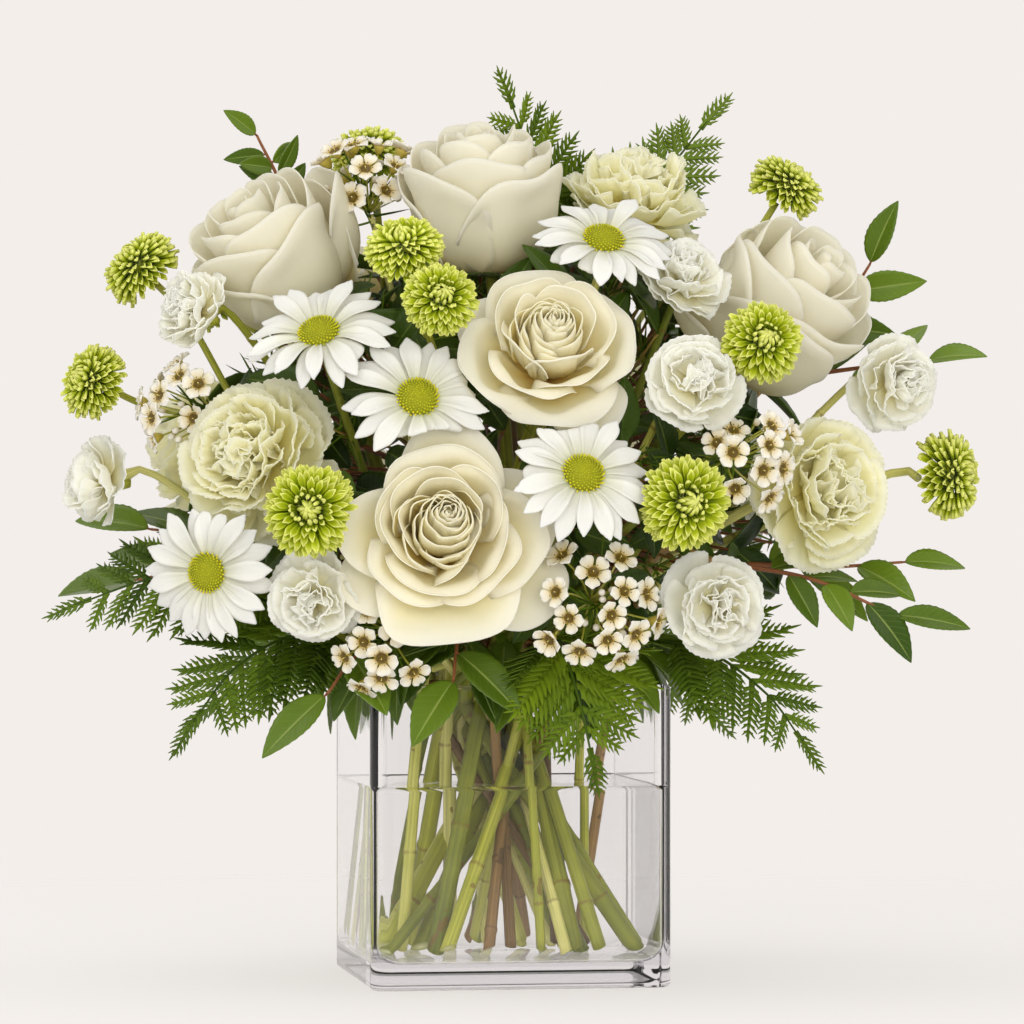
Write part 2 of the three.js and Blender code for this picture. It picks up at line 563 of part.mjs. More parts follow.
// The directions at a point of a curve: along it, across it and out of its upper side, which looks up, and
// out from the vase where the curve hangs.
function spineFrame(curve, t) {
  const along = curve.getTangent(t);
  const up = curve.getPoint(1).setZ(0).normalize().multiplyScalar(Math.max(-along.z, 0)).add(UP);
  const across = new THREE.Vector3().crossVectors(along, up).normalize();
  const normal = new THREE.Vector3().crossVectors(across, along).normalize();
  return { at: curve.getPoint(t), along, across, normal };
}

// The outline of a toothed pinna past its root edge, from its right side round the tip to its left: how far
// along it as a share of its length, and across it and out of it as shares of its breadth.
const PINNA = [[0.3, 1, 0], [0.44, 0.56, 0], [1, 0, 0], [0.44, -0.56, 0], [0.3, -1, 0]];
const PINNA_SHEET = [[0, 1, 3], [0, 3, 5], [5, 3, 4], [1, 2, 3], [0, 5, 6]];
// The outline of a pointed oval leaf, whose sides stand a little above its midrib.
const OVAL = [[0.34, 1, 1], [0.72, 0.82, 1], [1, 0, 0], [0.72, -0.82, 1], [0.34, -1, 1]];
const OVAL_SHEET = [[0, 1, 4], [1, 2, 3], [1, 3, 4], [0, 4, 5], [0, 5, 6]];

// One sheet: a narrow strip along a curve, with blades grown from its edges at each node and one at its
// end. A node grips a short length of the strip and has a blade on its right side, its left side or both.
function foliage(curve, half, { grip, nodes, tip, ...shape }, thickness) {
  const stations = [0, ...nodes.flatMap(({ t }) => [t - grip, t + grip]), 0.999];
  const points = [];
  const sheet = [];
  stations.forEach((t, k) => {
    const { at, across } = spineFrame(curve, t);
    points.push(at.clone().addScaledVector(across, -half), at.clone().addScaledVector(across, half));
    if (k > 0) {
      sheet.push([2 * k - 2, 2 * k - 1, 2 * k + 1], [2 * k - 2, 2 * k + 1, 2 * k]);
    }
  });
  const grow = (t, root, side, length, breadth) => {
    const { at, along, across, normal } = spineFrame(curve, t);
    const out = side === 0 ? along : along.clone().multiplyScalar(LEAN.along)
      .addScaledVector(across, LEAN.across * side);
    const sideways = new THREE.Vector3().crossVectors(out, normal).normalize();
    const first = points.length - 2;
    for (const [a, b, c] of shape.outline) {
      const lift = c * shape.fold * breadth - shape.droop * a * a * length;
      const spot = at.clone().addScaledVector(out, a * length);
      spot.addScaledVector(sideways, b * breadth).addScaledVector(normal, lift);
      points.push(bentClear(spot, at, standing, KEEP_OFF));
    }
    sheet.push(...shape.faces.map((face) => face.map((i) => (i < 2 ? root[i] : first + i))));
  };
  nodes.forEach(({ t, sides, length, breadth }, index) => {
    const k = 2 * index + 1;
    for (const side of sides) {
      const root = side > 0 ? [2 * k + 3, 2 * k + 1] : [2 * k, 2 * k + 2];
      grow(t, root, side, length, breadth);
    }
  });
  const end = stations.length - 1;
  grow(0.999, [2 * end, 2 * end + 1], 0, tip.length, tip.breadth);
  return blade(points, sheet, thickness);
}

// A frond: pairs of pinnae along a curved rib, longest near its root, and one at its tip.
function frond({ rib, reach, pairs }) {
  const curve = new THREE.CatmullRomCurve3(rib.map(vec));
  const pitch = FERN.leafy * curve.getLength() / pairs;
  const nodes = Array.from({ length: pairs }, (_, i) => {
    const length = reach * (1 - 0.5 * i / pairs);
    const breadth = Math.min(FERN.fill * pitch, FERN.widest * length);
    return { t: 0.36 + FERN.leafy * i / pairs, sides: [-1, 1], length, breadth };
  });
  const shape = { fold: 0, outline: PINNA, faces: PINNA_SHEET, droop: DROOP, grip: 0.02 };
  const tip = { length: 0.5 * reach, breadth: 0.3 * pitch };
  return foliage(curve, FERN.rib, { ...shape, nodes, tip }, FERN.thickness);
}

function twig({ points, leaves, leaf: length }) {
  const size = (i) => {
    const grown = length * (0.85 + 0.3 * draw(length, i));
    return { length: grown, breadth: LEAF.width * grown };
  };
  const nodes = Array.from({ length: leaves - 1 }, (_, i) => (
    { t: 0.26 + 0.66 * i / (leaves - 1), sides: [i % 2 ? 1 : -1], ...size(i) }));
  const shape = { fold: LEAF.fold, outline: OVAL, faces: OVAL_SHEET, droop: DROOP, grip: 0.025 };
  const curve = new THREE.CatmullRomCurve3(points.map(vec));
  return foliage(curve, LEAF.twig, { ...shape, nodes, tip: size(leaves) }, LEAF.thickness);
}

// ---------------------------------------------------------------- stems

// The knot just below the rim, where the stems cross, and the feet of the sheaf that stands in the water.
const KNOT = { height: 124, radius: 20, squash: 0.85, flat: 115, sunk: 10 };
const STEM = {
  rose: 2.8, carnation: 2.4, mini: 1.7, daisy: 1.7, pom: 1.8, waxflower: 1.6, fern: 1.6, leaf: 1.8,
};
// The cup that holds a head, as a share of the head's width.
const CUP = { rose: 0.1, carnation: 0.08 };
const FOOT = { height: VASE.floor + 4 * GAP, twist: 100 };
const SHEAF = [{ count: 9, foot: 46, top: 13 }, { count: 5, foot: 25, top: 6 }];
const FORK_GAP = 0.6; // further back where branches spread from one root
const stemEnds = [];

// Notes where a stem has to end below a head, the way it runs there and the cup that holds the head.
function wantStem(kind, end, facing, cup = STEM[kind]) {
  stemEnds.push({ end: end.clone().addScaledVector(facing, -GAP), facing, radius: STEM[kind], cup });
}

// A three-sided stem from inside the knot, which widens into the cup that holds its head.
function upperStem({ end, facing, radius, cup }) {
  const heart = new THREE.Vector3(0, 0, KNOT.height);
  const neck = end.clone().addScaledVector(facing, -Math.min(26, 0.3 * end.distanceTo(heart)));
  const way = neck.clone().sub(heart).normalize();
  const across = new THREE.Vector3().crossVectors(way, facing.x > 0 ? UP : facing).normalize();
  const ring = (centre, direction, size) => [0, 1, 2].map((k) => across.clone().projectOnPlane(direction)
    .setLength(size).applyAxisAngle(direction, 2 * Math.PI * k / 3).add(centre));
  const rings = [ring(heart.clone().addScaledVector(way, KNOT.sunk), way, radius), ring(neck, way, radius)];
  if (cup > radius) {
    rings.push(ring(end.clone().addScaledVector(facing, -1.5 * cup), facing, radius));
  }
  rings.push(ring(end, facing, cup));
  const faces = [[2, 1, 0], [-3, -2, -1].map((i) => i + 3 * rings.length)];
  for (let k = 0; k + 3 < 3 * rings.length; k++) {
    const j = k - k % 3 + (k + 1) % 3;
    faces.push([k, j, j + 3], [k, j + 3, k + 3]);
  }
  return closedSolid(rings.flat(), faces);
}

// The knot is a squashed ball of small faces, cut flat below.
function knot() {
  const ball = new THREE.IcosahedronGeometry(KNOT.radius, 1).scale(1, 1, KNOT.squash);
  return solidOf(ball.translate(0, 0, KNOT.height)).trimByPlane([0, 0, 1], KNOT.flat);
}

// The stems in the vase stand like a spiralled sheaf: a wide ring of feet, and a narrow one inside it.
function lowerStems(margin) {
  return fuse(SHEAF.flatMap(({ count, foot, top }, ring) => Array.from({ length: count }, (_, i) => {
    const angle = 2 * Math.PI * (i + 0.3 * draw(ring, i)) / count;
    const radius = [2.8, 2.3, 1.8][(i + ring) % 3] + margin;
    const bottom = polar(foot * (1 - 0.12 * draw(ring + 4, i)), angle, FOOT.height - margin);
    return rod([bottom, polar(top, angle + rad(FOOT.twist), KNOT.height - 4)], radius, 5, 1);
  })));
}

// ---------------------------------------------------------------- the centerpiece

const centerpiece = new THREE.Group();
centerpiece.name = 'floral_centerpiece';

function add(name, solid, material) {
  const mesh = new THREE.Mesh(geometryOf(solid), MATERIALS[material]());
  mesh.name = name;
  centerpiece.add(mesh);
}

function addHeads(kind, heads, build) {
  for (const head of heads) {
    const stance = stand(kind, head);
    build(head, stance);
    standing.push(stance.ball);
  }
}

addHeads('rose', ROSES, (head, stance) => {
  add(head.name, rose(head, stance), 'rose');
  wantStem('rose', stance.base, stance.facing, CUP.rose * head.width);
});
addHeads('carnation', CARNATIONS, (head, stance) => {
  add(head.name, carnation(head, CARNATION_WHORLS, 4, stance), 'carnation');
  wantStem('carnation', stance.base, stance.facing, CUP.carnation * head.width);
});
addHeads('daisy', DAISIES, (head, stance) => {
  const rays = daisyRays(head, stance);
  const disc = daisyDisc(head, stance);
  add(head.whole ? head.name : `${head.name}_rays`, rays, 'daisy');
  if (!head.whole) {
    add(`${head.name}_disc`, disc, 'disc');
  }
  const seat = head.whole ? DAISY.seat * head.width : -DAISY.thickness / 2;
  wantStem('daisy', stance.base.clone().addScaledVector(stance.facing, seat), stance.facing);
});
for (const spray of POMS) {
  const parts = [];
  const fork = spray.fork && vec(spray.fork);
  addHeads('pom', spray.heads, (head, stance) => {
    parts.push(pomHead(head, stance));
    if (fork) {
      const neck = stance.base.clone().addScaledVector(stance.facing, -POM.neck);
      const end = stance.base.clone().addScaledVector(stance.facing, POM.sunk);
      parts.push(rod([fork, neck, end], POM.branch, 3, 2));
    } else {
      wantStem('pom', stance.base, stance.facing);
    }
  });
  add(spray.name, fuse(parts), 'pom');
  if (fork) {
    const way = fork.clone().setZ(fork.z - KNOT.height).normalize();
    wantStem('pom', fork.addScaledVector(way, -FORK_GAP), way);
  }
}
addHeads('mini', MINIS, (head, stance) => {
  add(head.name, carnation(head, MINI_WHORLS, 3, stance), 'mini');
  wantStem('mini', stance.base, stance.facing);
});
for (const spray of WAXFLOWERS) {
  const facing = towards(spray.turn, spray.rise);
  add(spray.name, waxflower(spray), 'waxflower');
  wantStem('waxflower', vec(spray.at).addScaledVector(facing, -WAX.stalk - 2.6), facing);
}
// A foliage node's stem meets its strips end on.
function addFoliage(name, solids, lines, kind) {
  const root = vec(lines[0][0]);
  const way = lines.reduce((sum, line) => sum.add(new THREE.CatmullRomCurve3(line.map(vec)).getTangent(0)),
    new THREE.Vector3()).normalize();
  add(name, fuse(solids), kind);
  wantStem(kind, root.addScaledVector(way, -FORK_GAP), way);
}
for (const { name, fronds } of FERNS) {
  addFoliage(name, fronds.map(frond), fronds.map(({ rib }) => rib), 'fern');
}
for (const { name, twigs } of SHOOTS) {
  addFoliage(name, twigs.map(twig), twigs.map(({ points }) => points), 'leaf');
}
add('stems', fuse([knot(), lowerStems(0), ...stemEnds.map(upperStem)]), 'stem');
add('water', water(lowerStems(0.4)), 'water');
add('vase', vase(), 'glass');

export default centerpiece;
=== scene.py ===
"""The look of a floral table centerpiece in a clear glass cube vase of water.

Shapes are worked out in millimetres in the frame's own axes (+Z up, the front towards -Y) and turned into
metres when a piece is made. Each bloom stands where its solid stands and makes room for its neighbours by
the same rule, and is then built again with finer petals.
"""

import math
from functools import lru_cache

import bpy
import numpy as np
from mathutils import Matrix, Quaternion, Vector

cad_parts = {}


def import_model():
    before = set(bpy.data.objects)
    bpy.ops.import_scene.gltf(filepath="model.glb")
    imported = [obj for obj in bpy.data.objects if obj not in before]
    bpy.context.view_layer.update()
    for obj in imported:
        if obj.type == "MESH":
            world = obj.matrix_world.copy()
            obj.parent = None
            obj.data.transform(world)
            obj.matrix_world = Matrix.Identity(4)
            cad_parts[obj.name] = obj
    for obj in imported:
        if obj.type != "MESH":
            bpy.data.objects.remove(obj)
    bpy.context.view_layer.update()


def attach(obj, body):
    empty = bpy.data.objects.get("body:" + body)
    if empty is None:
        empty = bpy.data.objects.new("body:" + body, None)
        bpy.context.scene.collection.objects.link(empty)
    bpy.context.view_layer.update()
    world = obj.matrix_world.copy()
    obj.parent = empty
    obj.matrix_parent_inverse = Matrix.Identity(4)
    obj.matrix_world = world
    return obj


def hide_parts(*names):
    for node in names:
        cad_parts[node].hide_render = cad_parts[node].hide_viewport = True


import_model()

# ------------------------------------------------------------------ driving dimensions, in mm and degrees

MM = 0.001
GOLDEN_ANGLE = 137.508
VASE = {"width": 127.0, "height": 127.0, "wall": 4.5, "floor": 10.5, "dome": 1.0, "corner": 7.0,
        "inner_corner": 4.0, "bevel": 2.2, "fillet": 7.0}
WATER_LEVEL = 84.0
# Petals keep this far off other heads, and heads further off than the second aren't looked at.
KEEP_OFF = 1.0
NEARBY = 8.0
# The stems cross at the first height and stand at the second.
KNOT_HEIGHT = 124.0
FOOT_HEIGHT = 12.5

# Each head: the middle of the bloom, the way it faces (turn from the front towards +X, rise above level),
# its width and its spin about its own axis; a rose also has how far it is open.
ROSES = {
    "rose_front": ((-44, -126, 189), -8, 7, 84, 20, 1.0),
    "rose_centre": ((2, -114, 266), -3, 30, 74, 80, 0.8),
    "rose_top": ((-15, -46, 334), -30, 72, 68, 150, 0.3),
    "rose_left": ((-102, -27, 310), -60, 48, 68, 35, 0.3),
    "rose_right": ((114, -52, 288), 45, 38, 74, 250, 0.4),
    "rose_back_high": ((-62, 84, 294), -146, 40, 72, 10, 0.6),
    "rose_back_right": ((58, 112, 250), 158, 22, 78, 120, 0.9),
    "rose_back_low": ((-56, 122, 198), -160, 6, 78, 200, 0.8),
}
CARNATIONS = {
    "carnation_left": ((-118, -72, 222), -36, 8, 64, 0),
    "carnation_right": ((124, -92, 208), 22, 2, 62, 40),
    "carnation_top": ((56, -20, 338), 25, 66, 60, 90),
    "carnation_back_top": ((22, 66, 318), 165, 58, 60, 20),
    "carnation_back_left": ((-128, 52, 230), -112, 12, 62, 70),
}
DAISIES = {
    "daisy_centre": ((12, -140, 214), 4, 28, 60, 11),
    "daisy_middle": ((-52, -117, 245), -2, 26, 60, 7),
    "daisy_upper_left": ((-90, -99, 272), -24, 44, 60, 0),
    "daisy_upper": ((28, -97, 311), 4, 48, 60, 3),
    "daisy_left_low": ((-134, -82, 174), -34, -4, 58, 5),
    "daisy_back": ((-2, 122, 290), 178, 32, 58, 2),
    "daisy_back_right": ((122, 84, 214), 126, 8, 60, 9),
    "daisy_back_low": ((24, 128, 180), 172, -6, 58, 14),
}
WHOLE_DAISIES = ("daisy_back", "daisy_back_right", "daisy_back_low")
# Each pom spray: where its branches fork, if they do, and its heads.
POMS = {
    "poms_left": ((-110, -8, 236), [((-154, -6, 302), -78, 46, 34), ((-174, -6, 254), -66, 20, 32)]),
    "poms_upper": ((-32, -70, 250), [((-54, -92, 306), -24, 56, 32), ((-44, -124, 284), 4, 20, 30)]),
    "pom_centre_right": (None, [((90, -116, 268), 6, 16, 33)]),
    "poms_right_high": ((70, 14, 252), [((120, -24, 338), 60, 56, 32), ((84, 62, 300), 132, 44, 34)]),
    "pom_right_far": (None, [((184, -50, 215), 62, 6, 37)]),
    "pom_front_left": (None, [((-97, -128, 199), -12, 2, 37)]),
    "pom_front_right": (None, [((52, -146, 202), 10, 2, 37)]),
    "poms_back": ((-42, 34, 248), [((-56, 10, 352), -150, 74, 32), ((-118, 44, 294), -112, 40, 34)]),
}
# The heads that are yellower than the rest, by their place.
YELLOW_POMS = [(-54, -92, 306)]
MINIS = {
    "mini_left_high": ((-140, -52, 284), -60, 20, 37, 0),
    "mini_left_far": ((-176, -4, 212), -82, 2, 37, 30),
    "mini_front_left": ((-94, -104, 162), -22, -14, 37, 60),
    "mini_centre_right": ((62, -126, 252), 8, 8, 41, 90),
    "mini_right_far": ((162, -62, 254), 30, 4, 39, 120),
    "mini_front_right": ((72, -120, 160), 4, -6, 40, 150),
    "mini_upper_right": ((64, -88, 298), 12, 42, 38, 180),
}
# Each waxflower spray: its middle, turn, rise, spread and number of open flowers.
WAXFLOWERS = {
    "waxflower_top_left": ((-66, -22, 348), -50, 66, 27, 17),
    "waxflower_left": ((-146, -38, 246), -62, 14, 20, 10),
    "waxflower_right": ((84, -130, 224), 18, 10, 20, 11),
    "waxflower_front_right": ((22, -128, 158), 2, -10, 25, 15),
    "waxflower_front_left": ((-66, -104, 142), -18, -20, 19, 8),
    "waxflower_back": ((96, 104, 166), 142, -6, 24, 13),
}
# Each fern: fronds as rib points, root first, and the length of the longest pinna.
FERNS = {
    "ferns_left": [
        ([(-46, -4, 150), (-100, -14, 174), (-146, -12, 172), (-182, 0, 160)], 42),
        ([(-46, -4, 150), (-90, -30, 148), (-118, -40, 134), (-136, -46, 112)], 44)],
    "fern_front": [([(4, -54, 150), (12, -82, 144), (18, -94, 122), (23, -97, 98)], 32)],
    "fern_right": [([(44, -44, 146), (74, -70, 142), (98, -86, 124), (112, -94, 104)], 38)],
    "ferns_top": [
        ([(18, 26, 270), (20, 16, 320), (14, 8, 352), (4, 0, 378)], 30),
        ([(18, 26, 270), (50, 38, 316), (78, 30, 348), (96, 20, 372)], 32)],
    "ferns_back": [
        ([(6, 50, 150), (50, 84, 146), (90, 106, 130), (116, 114, 108)], 42),
        ([(6, 50, 150), (-40, 88, 150), (-82, 108, 136), (-114, 114, 112)], 42)],
}
# Each leafy shoot: twigs as points, root first, their number of leaves and the length of a leaf.
SHOOTS = {
    "shoot_top_left": [([(-84, 18, 300), (-92, 12, 336), (-104, 6, 360)], 12, 18)],
    "shoot_right_high": [
        ([(128, -4, 258), (148, -12, 288), (158, -20, 306)], 5, 30),
        ([(128, -4, 258), (158, -20, 262), (180, -32, 264)], 4, 30)],
    "shoot_right_low": [
        ([(84, -58, 178), (120, -76, 171), (152, -90, 156)], 7, 27),
        ([(84, -58, 178), (130, -50, 176), (164, -54, 178)], 5, 32)],
    "shoot_rim_front": [
        ([(-22, -52, 148), (-30, -80, 146), (-34, -94, 130)], 4, 34),
        ([(-22, -52, 148), (-66, -66, 142), (-84, -76, 124)], 4, 34)],
    "shoot_back": [
        ([(-62, 40, 176), (-108, 70, 178), (-148, 84, 170)], 6, 34),
        ([(-62, 40, 176), (-112, 24, 188), (-148, 22, 192)], 5, 34)],
}


# ------------------------------------------------------------------ small mathematics

UP = np.array([0.0, 0.0, 1.0])
FULL_TURN = 2 * math.pi
SMALLEST = 1e-9
CURVE_STEPS = 12


def mix(low, high, share):
    return low + (high - low) * share


def smooth(share):
    share = np.clip(share, 0, 1)
    return share * share * (3 - 2 * share)


def bowed(start, middle, end, share):
    """A quadratic curve from a start to an end, drawn towards a middle."""
    return (1 - share) ** 2 * start + 2 * share * (1 - share) * middle + share ** 2 * end


def unit(vector):
    vector = np.asarray(vector, float)
    return vector / max(np.linalg.norm(vector), SMALLEST)


def units(vectors):
    return vectors / np.maximum(np.linalg.norm(vectors, axis=-1, keepdims=True), SMALLEST)


def towards(turn, rise):
    """The unit vector of a turn from the front towards +X and a rise above level, in degrees."""
    turn, rise = math.radians(turn), math.radians(rise)
    return np.array([math.sin(turn) * math.cos(rise), -math.cos(turn) * math.cos(rise), math.sin(rise)])


def polar(distance, angle, height):
    """Points at a distance from the +Z axis, an angle round it and a height."""
    distance, angle, height = np.broadcast_arrays(distance, angle, height)
    return np.stack([distance * np.cos(angle), distance * np.sin(angle), height], -1)


def on_axis(height):
    return polar(0.0, 0.0, height)


def golden(k):
    """The angle of the k-th of many things that wind round by the golden angle."""
    return math.radians(GOLDEN_ANGLE * k)


def axes_at(angle):
    """The ways outwards, sideways and up at an angle round +Z."""
    return polar(1.0, angle, 0.0), polar(1.0, angle + math.pi / 2, 0.0), UP


def combine(*terms):
    """The sum of vectors, each multiplied by a number at every point."""
    return sum(np.asarray(number)[..., None] * vector for number, vector in terms)


def turned(facing, spin=0.0):
    """The rotation that takes +Z to a facing, after a spin in degrees about +Z."""
    aim = Vector((0, 0, 1)).rotation_difference(Vector(facing))
    return np.array((aim @ Quaternion((0, 0, 1), math.radians(spin))).to_matrix())


def curve_through(points, count):
    """Evenly placed points on a smooth curve through the given ones."""
    points = np.asarray(points, float)
    ends = np.concatenate([[2 * points[0] - points[1]], points, [2 * points[-1] - points[-2]]])
    t = np.linspace(0, 1, CURVE_STEPS, endpoint=False)[:, None]
    runs = []
    for a, b, c, d in zip(ends, ends[1:], ends[2:], ends[3:]):
        runs.append(0.5 * (2 * b + (c - a) * t + (2 * a - 5 * b + 4 * c - d) * t ** 2
                           + (3 * b - a - 3 * c + d) * t ** 3))
    dense = np.concatenate(runs + [points[-1:]])
    length = np.concatenate([[0], np.cumsum(np.linalg.norm(np.diff(dense, axis=0), axis=1))])
    return points_at(np.linspace(0, length[-1], count), length, dense)


def points_at(wanted, places, points):
    """Points between the given ones, at the wanted places along them."""
    return np.stack([np.interp(wanted, places, points[:, k]) for k in range(3)], -1)


def square(cols, rows, low=0.0, high=1.0):
    """How far across (-1 to 1) and along (low to high) each point of a grid is."""
    return np.meshgrid(np.linspace(-1, 1, cols), np.linspace(low, high, rows))


def normals_of(grid):
    return units(np.cross(np.gradient(grid, axis=1), np.gradient(grid, axis=0)))


# ------------------------------------------------------------------ meshes

# A tube's sides start square to the first of these ways, or to the second if the tube starts near upright.
TUBE_STARTS = ((0.31, 0.17, 0.93), (1, 0.2, 0))
NEARLY_UPRIGHT = 0.9


@lru_cache(None)
def grid_faces(rows, cols):
    at = np.arange(rows * cols).reshape(rows, cols)
    return np.stack([at[:-1, :-1], at[:-1, 1:], at[1:, 1:], at[1:, :-1]], -1).reshape(-1, 4)


@lru_cache(None)
def rim_faces(rows, cols):
    at = np.arange(rows * cols).reshape(rows, cols)
    loop = np.concatenate([at[0, :], at[1:, -1], at[-1, -2::-1], at[-2:0:-1, 0]])
    after = np.roll(loop, -1)
    under = rows * cols
    return np.stack([after, loop, loop + under, after + under], -1)


@lru_cache(None)
def ring_faces(rings, sides):
    at = np.arange(rings * sides).reshape(rings, sides)
    after = np.roll(at, -1, axis=1)
    return np.stack([at[:-1], after[:-1], after[1:], at[1:]], -1).reshape(-1, 4)


def span_of(u, v, shade):
    return np.stack([u, v, np.full_like(u, shade)], -1).reshape(-1, 3)


class Skin:
    """Gathers blades, tubes and beads into one mesh.

    Each point keeps its span: how far across its blade it is (-1 to 1), how far along (0 to 1) and the
    blade's own shade (0 to 1). It also keeps its side: 1 on a blade's upper side and 0 on the lower; or 0
    at a tube's ends and 1 on its wall, and up to 2 at a joint."""

    def __init__(self):
        self.points = []
        self.spans = []
        self.sides = []
        self.faces = []
        self.count = 0

    def add(self, points, spans, side):
        first = self.count
        self.points.append(points)
        self.spans.append(spans)
        self.sides.append(np.broadcast_to(side, len(points)))
        self.count += len(points)
        return first

    def cap(self, ring, first, span, side, soft, order):
        """Closes a ring, whose points are numbered from first on, with a fan round its middle."""
        numbers = first + np.arange(len(ring))
        middle = self.add(ring.mean(0)[None], np.array([span]), side)
        fan = np.stack([numbers, np.roll(numbers, -1), np.full(len(ring), middle)], -1)
        self.faces.append((fan[:, ::order], soft))

    def blade(self, grid, thickness, shade=0.5, tip=1.0):
        """A thin closed blade round a grid of points: rows run from root to tip, columns across. A tip
        below 1 gives the whole blade the look of its lower part: roses use it to paint warm shade on their
        inner petals."""
        rows, cols = grid.shape[:2]
        offset = normals_of(grid) * thickness / 2
        span = span_of(*square(cols, rows, 0.0, tip), shade)
        first = self.add((grid + offset).reshape(-1, 3), span, 1.0)
        self.add((grid - offset).reshape(-1, 3), span, 0.0)
        faces = grid_faces(rows, cols)
        self.faces.append((first + faces, True))
        self.faces.append((first + rows * cols + faces[:, ::-1], True))
        self.faces.append((first + rim_faces(rows, cols), False))

    def tube(self, line, radii, sides=8, shade=0.5, slant=0.0, joints=0.0):
        """A closed tube along a line of points. A slant cuts its first end askew, and joints tell how near
        each point of the line is to a joint (0 to 1)."""
        line = np.asarray(line, float)
        radii = np.broadcast_to(radii, len(line))
        along = units(np.gradient(line, axis=0))
        side = unit(np.cross(along[0], TUBE_STARTS[abs(along[0][2]) >= NEARLY_UPRIGHT]))
        angle = np.linspace(0, FULL_TURN, sides, endpoint=False)
        rings = []
        for k, (point, way, radius) in enumerate(zip(line, along, radii)):
            side = unit(side - way * side.dot(way))
            other = np.cross(way, side)
            ring = point + radius * combine((np.cos(angle), side), (np.sin(angle), other))
            if k == 0 and slant:
                ring = ring + np.cos(angle)[:, None] * way * slant * radius
            rings.append(ring)
        u, v = square(sides, len(line))
        wall = 1.0 + np.repeat(np.broadcast_to(joints, len(line)), sides)
        first = self.add(np.concatenate(rings), span_of(u, v, shade), wall)
        self.faces.append((first + ring_faces(len(line), sides), True))
        for k, order in ((0, -1), (len(line) - 1, 1)):
            self.cap(rings[k], first + k * sides, (0.0, v[k, 0], shade), 0.0, False, order)

    def rings(self, rings, shades, along=0.0):
        """A closed skin through rings of points, from one end to the other, each with its own shade."""
        sides = len(rings[0])
        span = np.zeros((len(rings) * sides, 3))
        span[:, 1] = along
        span[:, 2] = np.repeat(shades, sides)
        first = self.add(np.concatenate(rings), span, 1.0)
        self.faces.append((first + ring_faces(len(rings), sides), True))
        for k, order in ((0, -1), (len(rings) - 1, 1)):
            self.cap(rings[k], first + k * sides, (0.0, along, shades[k]), 1.0, True, order)

    def bead(self, centre, way, radius, length, sides=6, shade=0.5, steps=4):
        """A rounded bead of a length along its way, standing on its centre and widest near its middle."""
        share = np.linspace(0, 1, steps)
        line = np.asarray(centre) + np.outer(share * length, unit(way))
        self.tube(line, radius * np.sqrt(np.clip(1 - (1.9 * share - 0.9) ** 2, 0.02, 1)), sides, shade)

    def build(self, name):
        points = np.concatenate(self.points).astype(np.float32) * MM
        mesh = bpy.data.meshes.new(name)
        corners = [faces.ravel() for faces, _ in self.faces]
        sizes = np.concatenate([np.full(len(faces), faces.shape[1]) for faces, _ in self.faces])
        smooth_faces = np.concatenate([np.full(len(faces), soft) for faces, soft in self.faces])
        starts = np.concatenate([[0], np.cumsum(sizes)[:-1]])
        mesh.vertices.add(len(points))
        mesh.vertices.foreach_set("co", points.ravel())
        mesh.loops.add(int(sizes.sum()))
        mesh.loops.foreach_set("vertex_index", np.concatenate(corners).astype(np.int32))
        mesh.polygons.add(len(sizes))
        mesh.polygons.foreach_set("loop_start", starts.astype(np.int32))
        mesh.polygons.foreach_set("use_smooth", smooth_faces)
        mesh.update(calc_edges=True)
        spans = mesh.attributes.new("span", "FLOAT_VECTOR", "POINT")
        spans.data.foreach_set("vector", np.concatenate(self.spans).astype(np.float32).ravel())
        sides = mesh.attributes.new("side", "FLOAT", "POINT")
        sides.data.foreach_set("value", np.concatenate(self.sides).astype(np.float32))
        return mesh


def piece(name, skin, material, slot, *replaced):
    """Makes an object of a skin, which rides on the one body and stands for the replaced nodes."""
    made = bpy.data.objects.new(name, skin.build(name))
    made.data.materials.append(material)
    bpy.context.scene.collection.objects.link(made)
    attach(made, "root")
    if replaced:
        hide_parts(*replaced)


# ------------------------------------------------------------------ materials

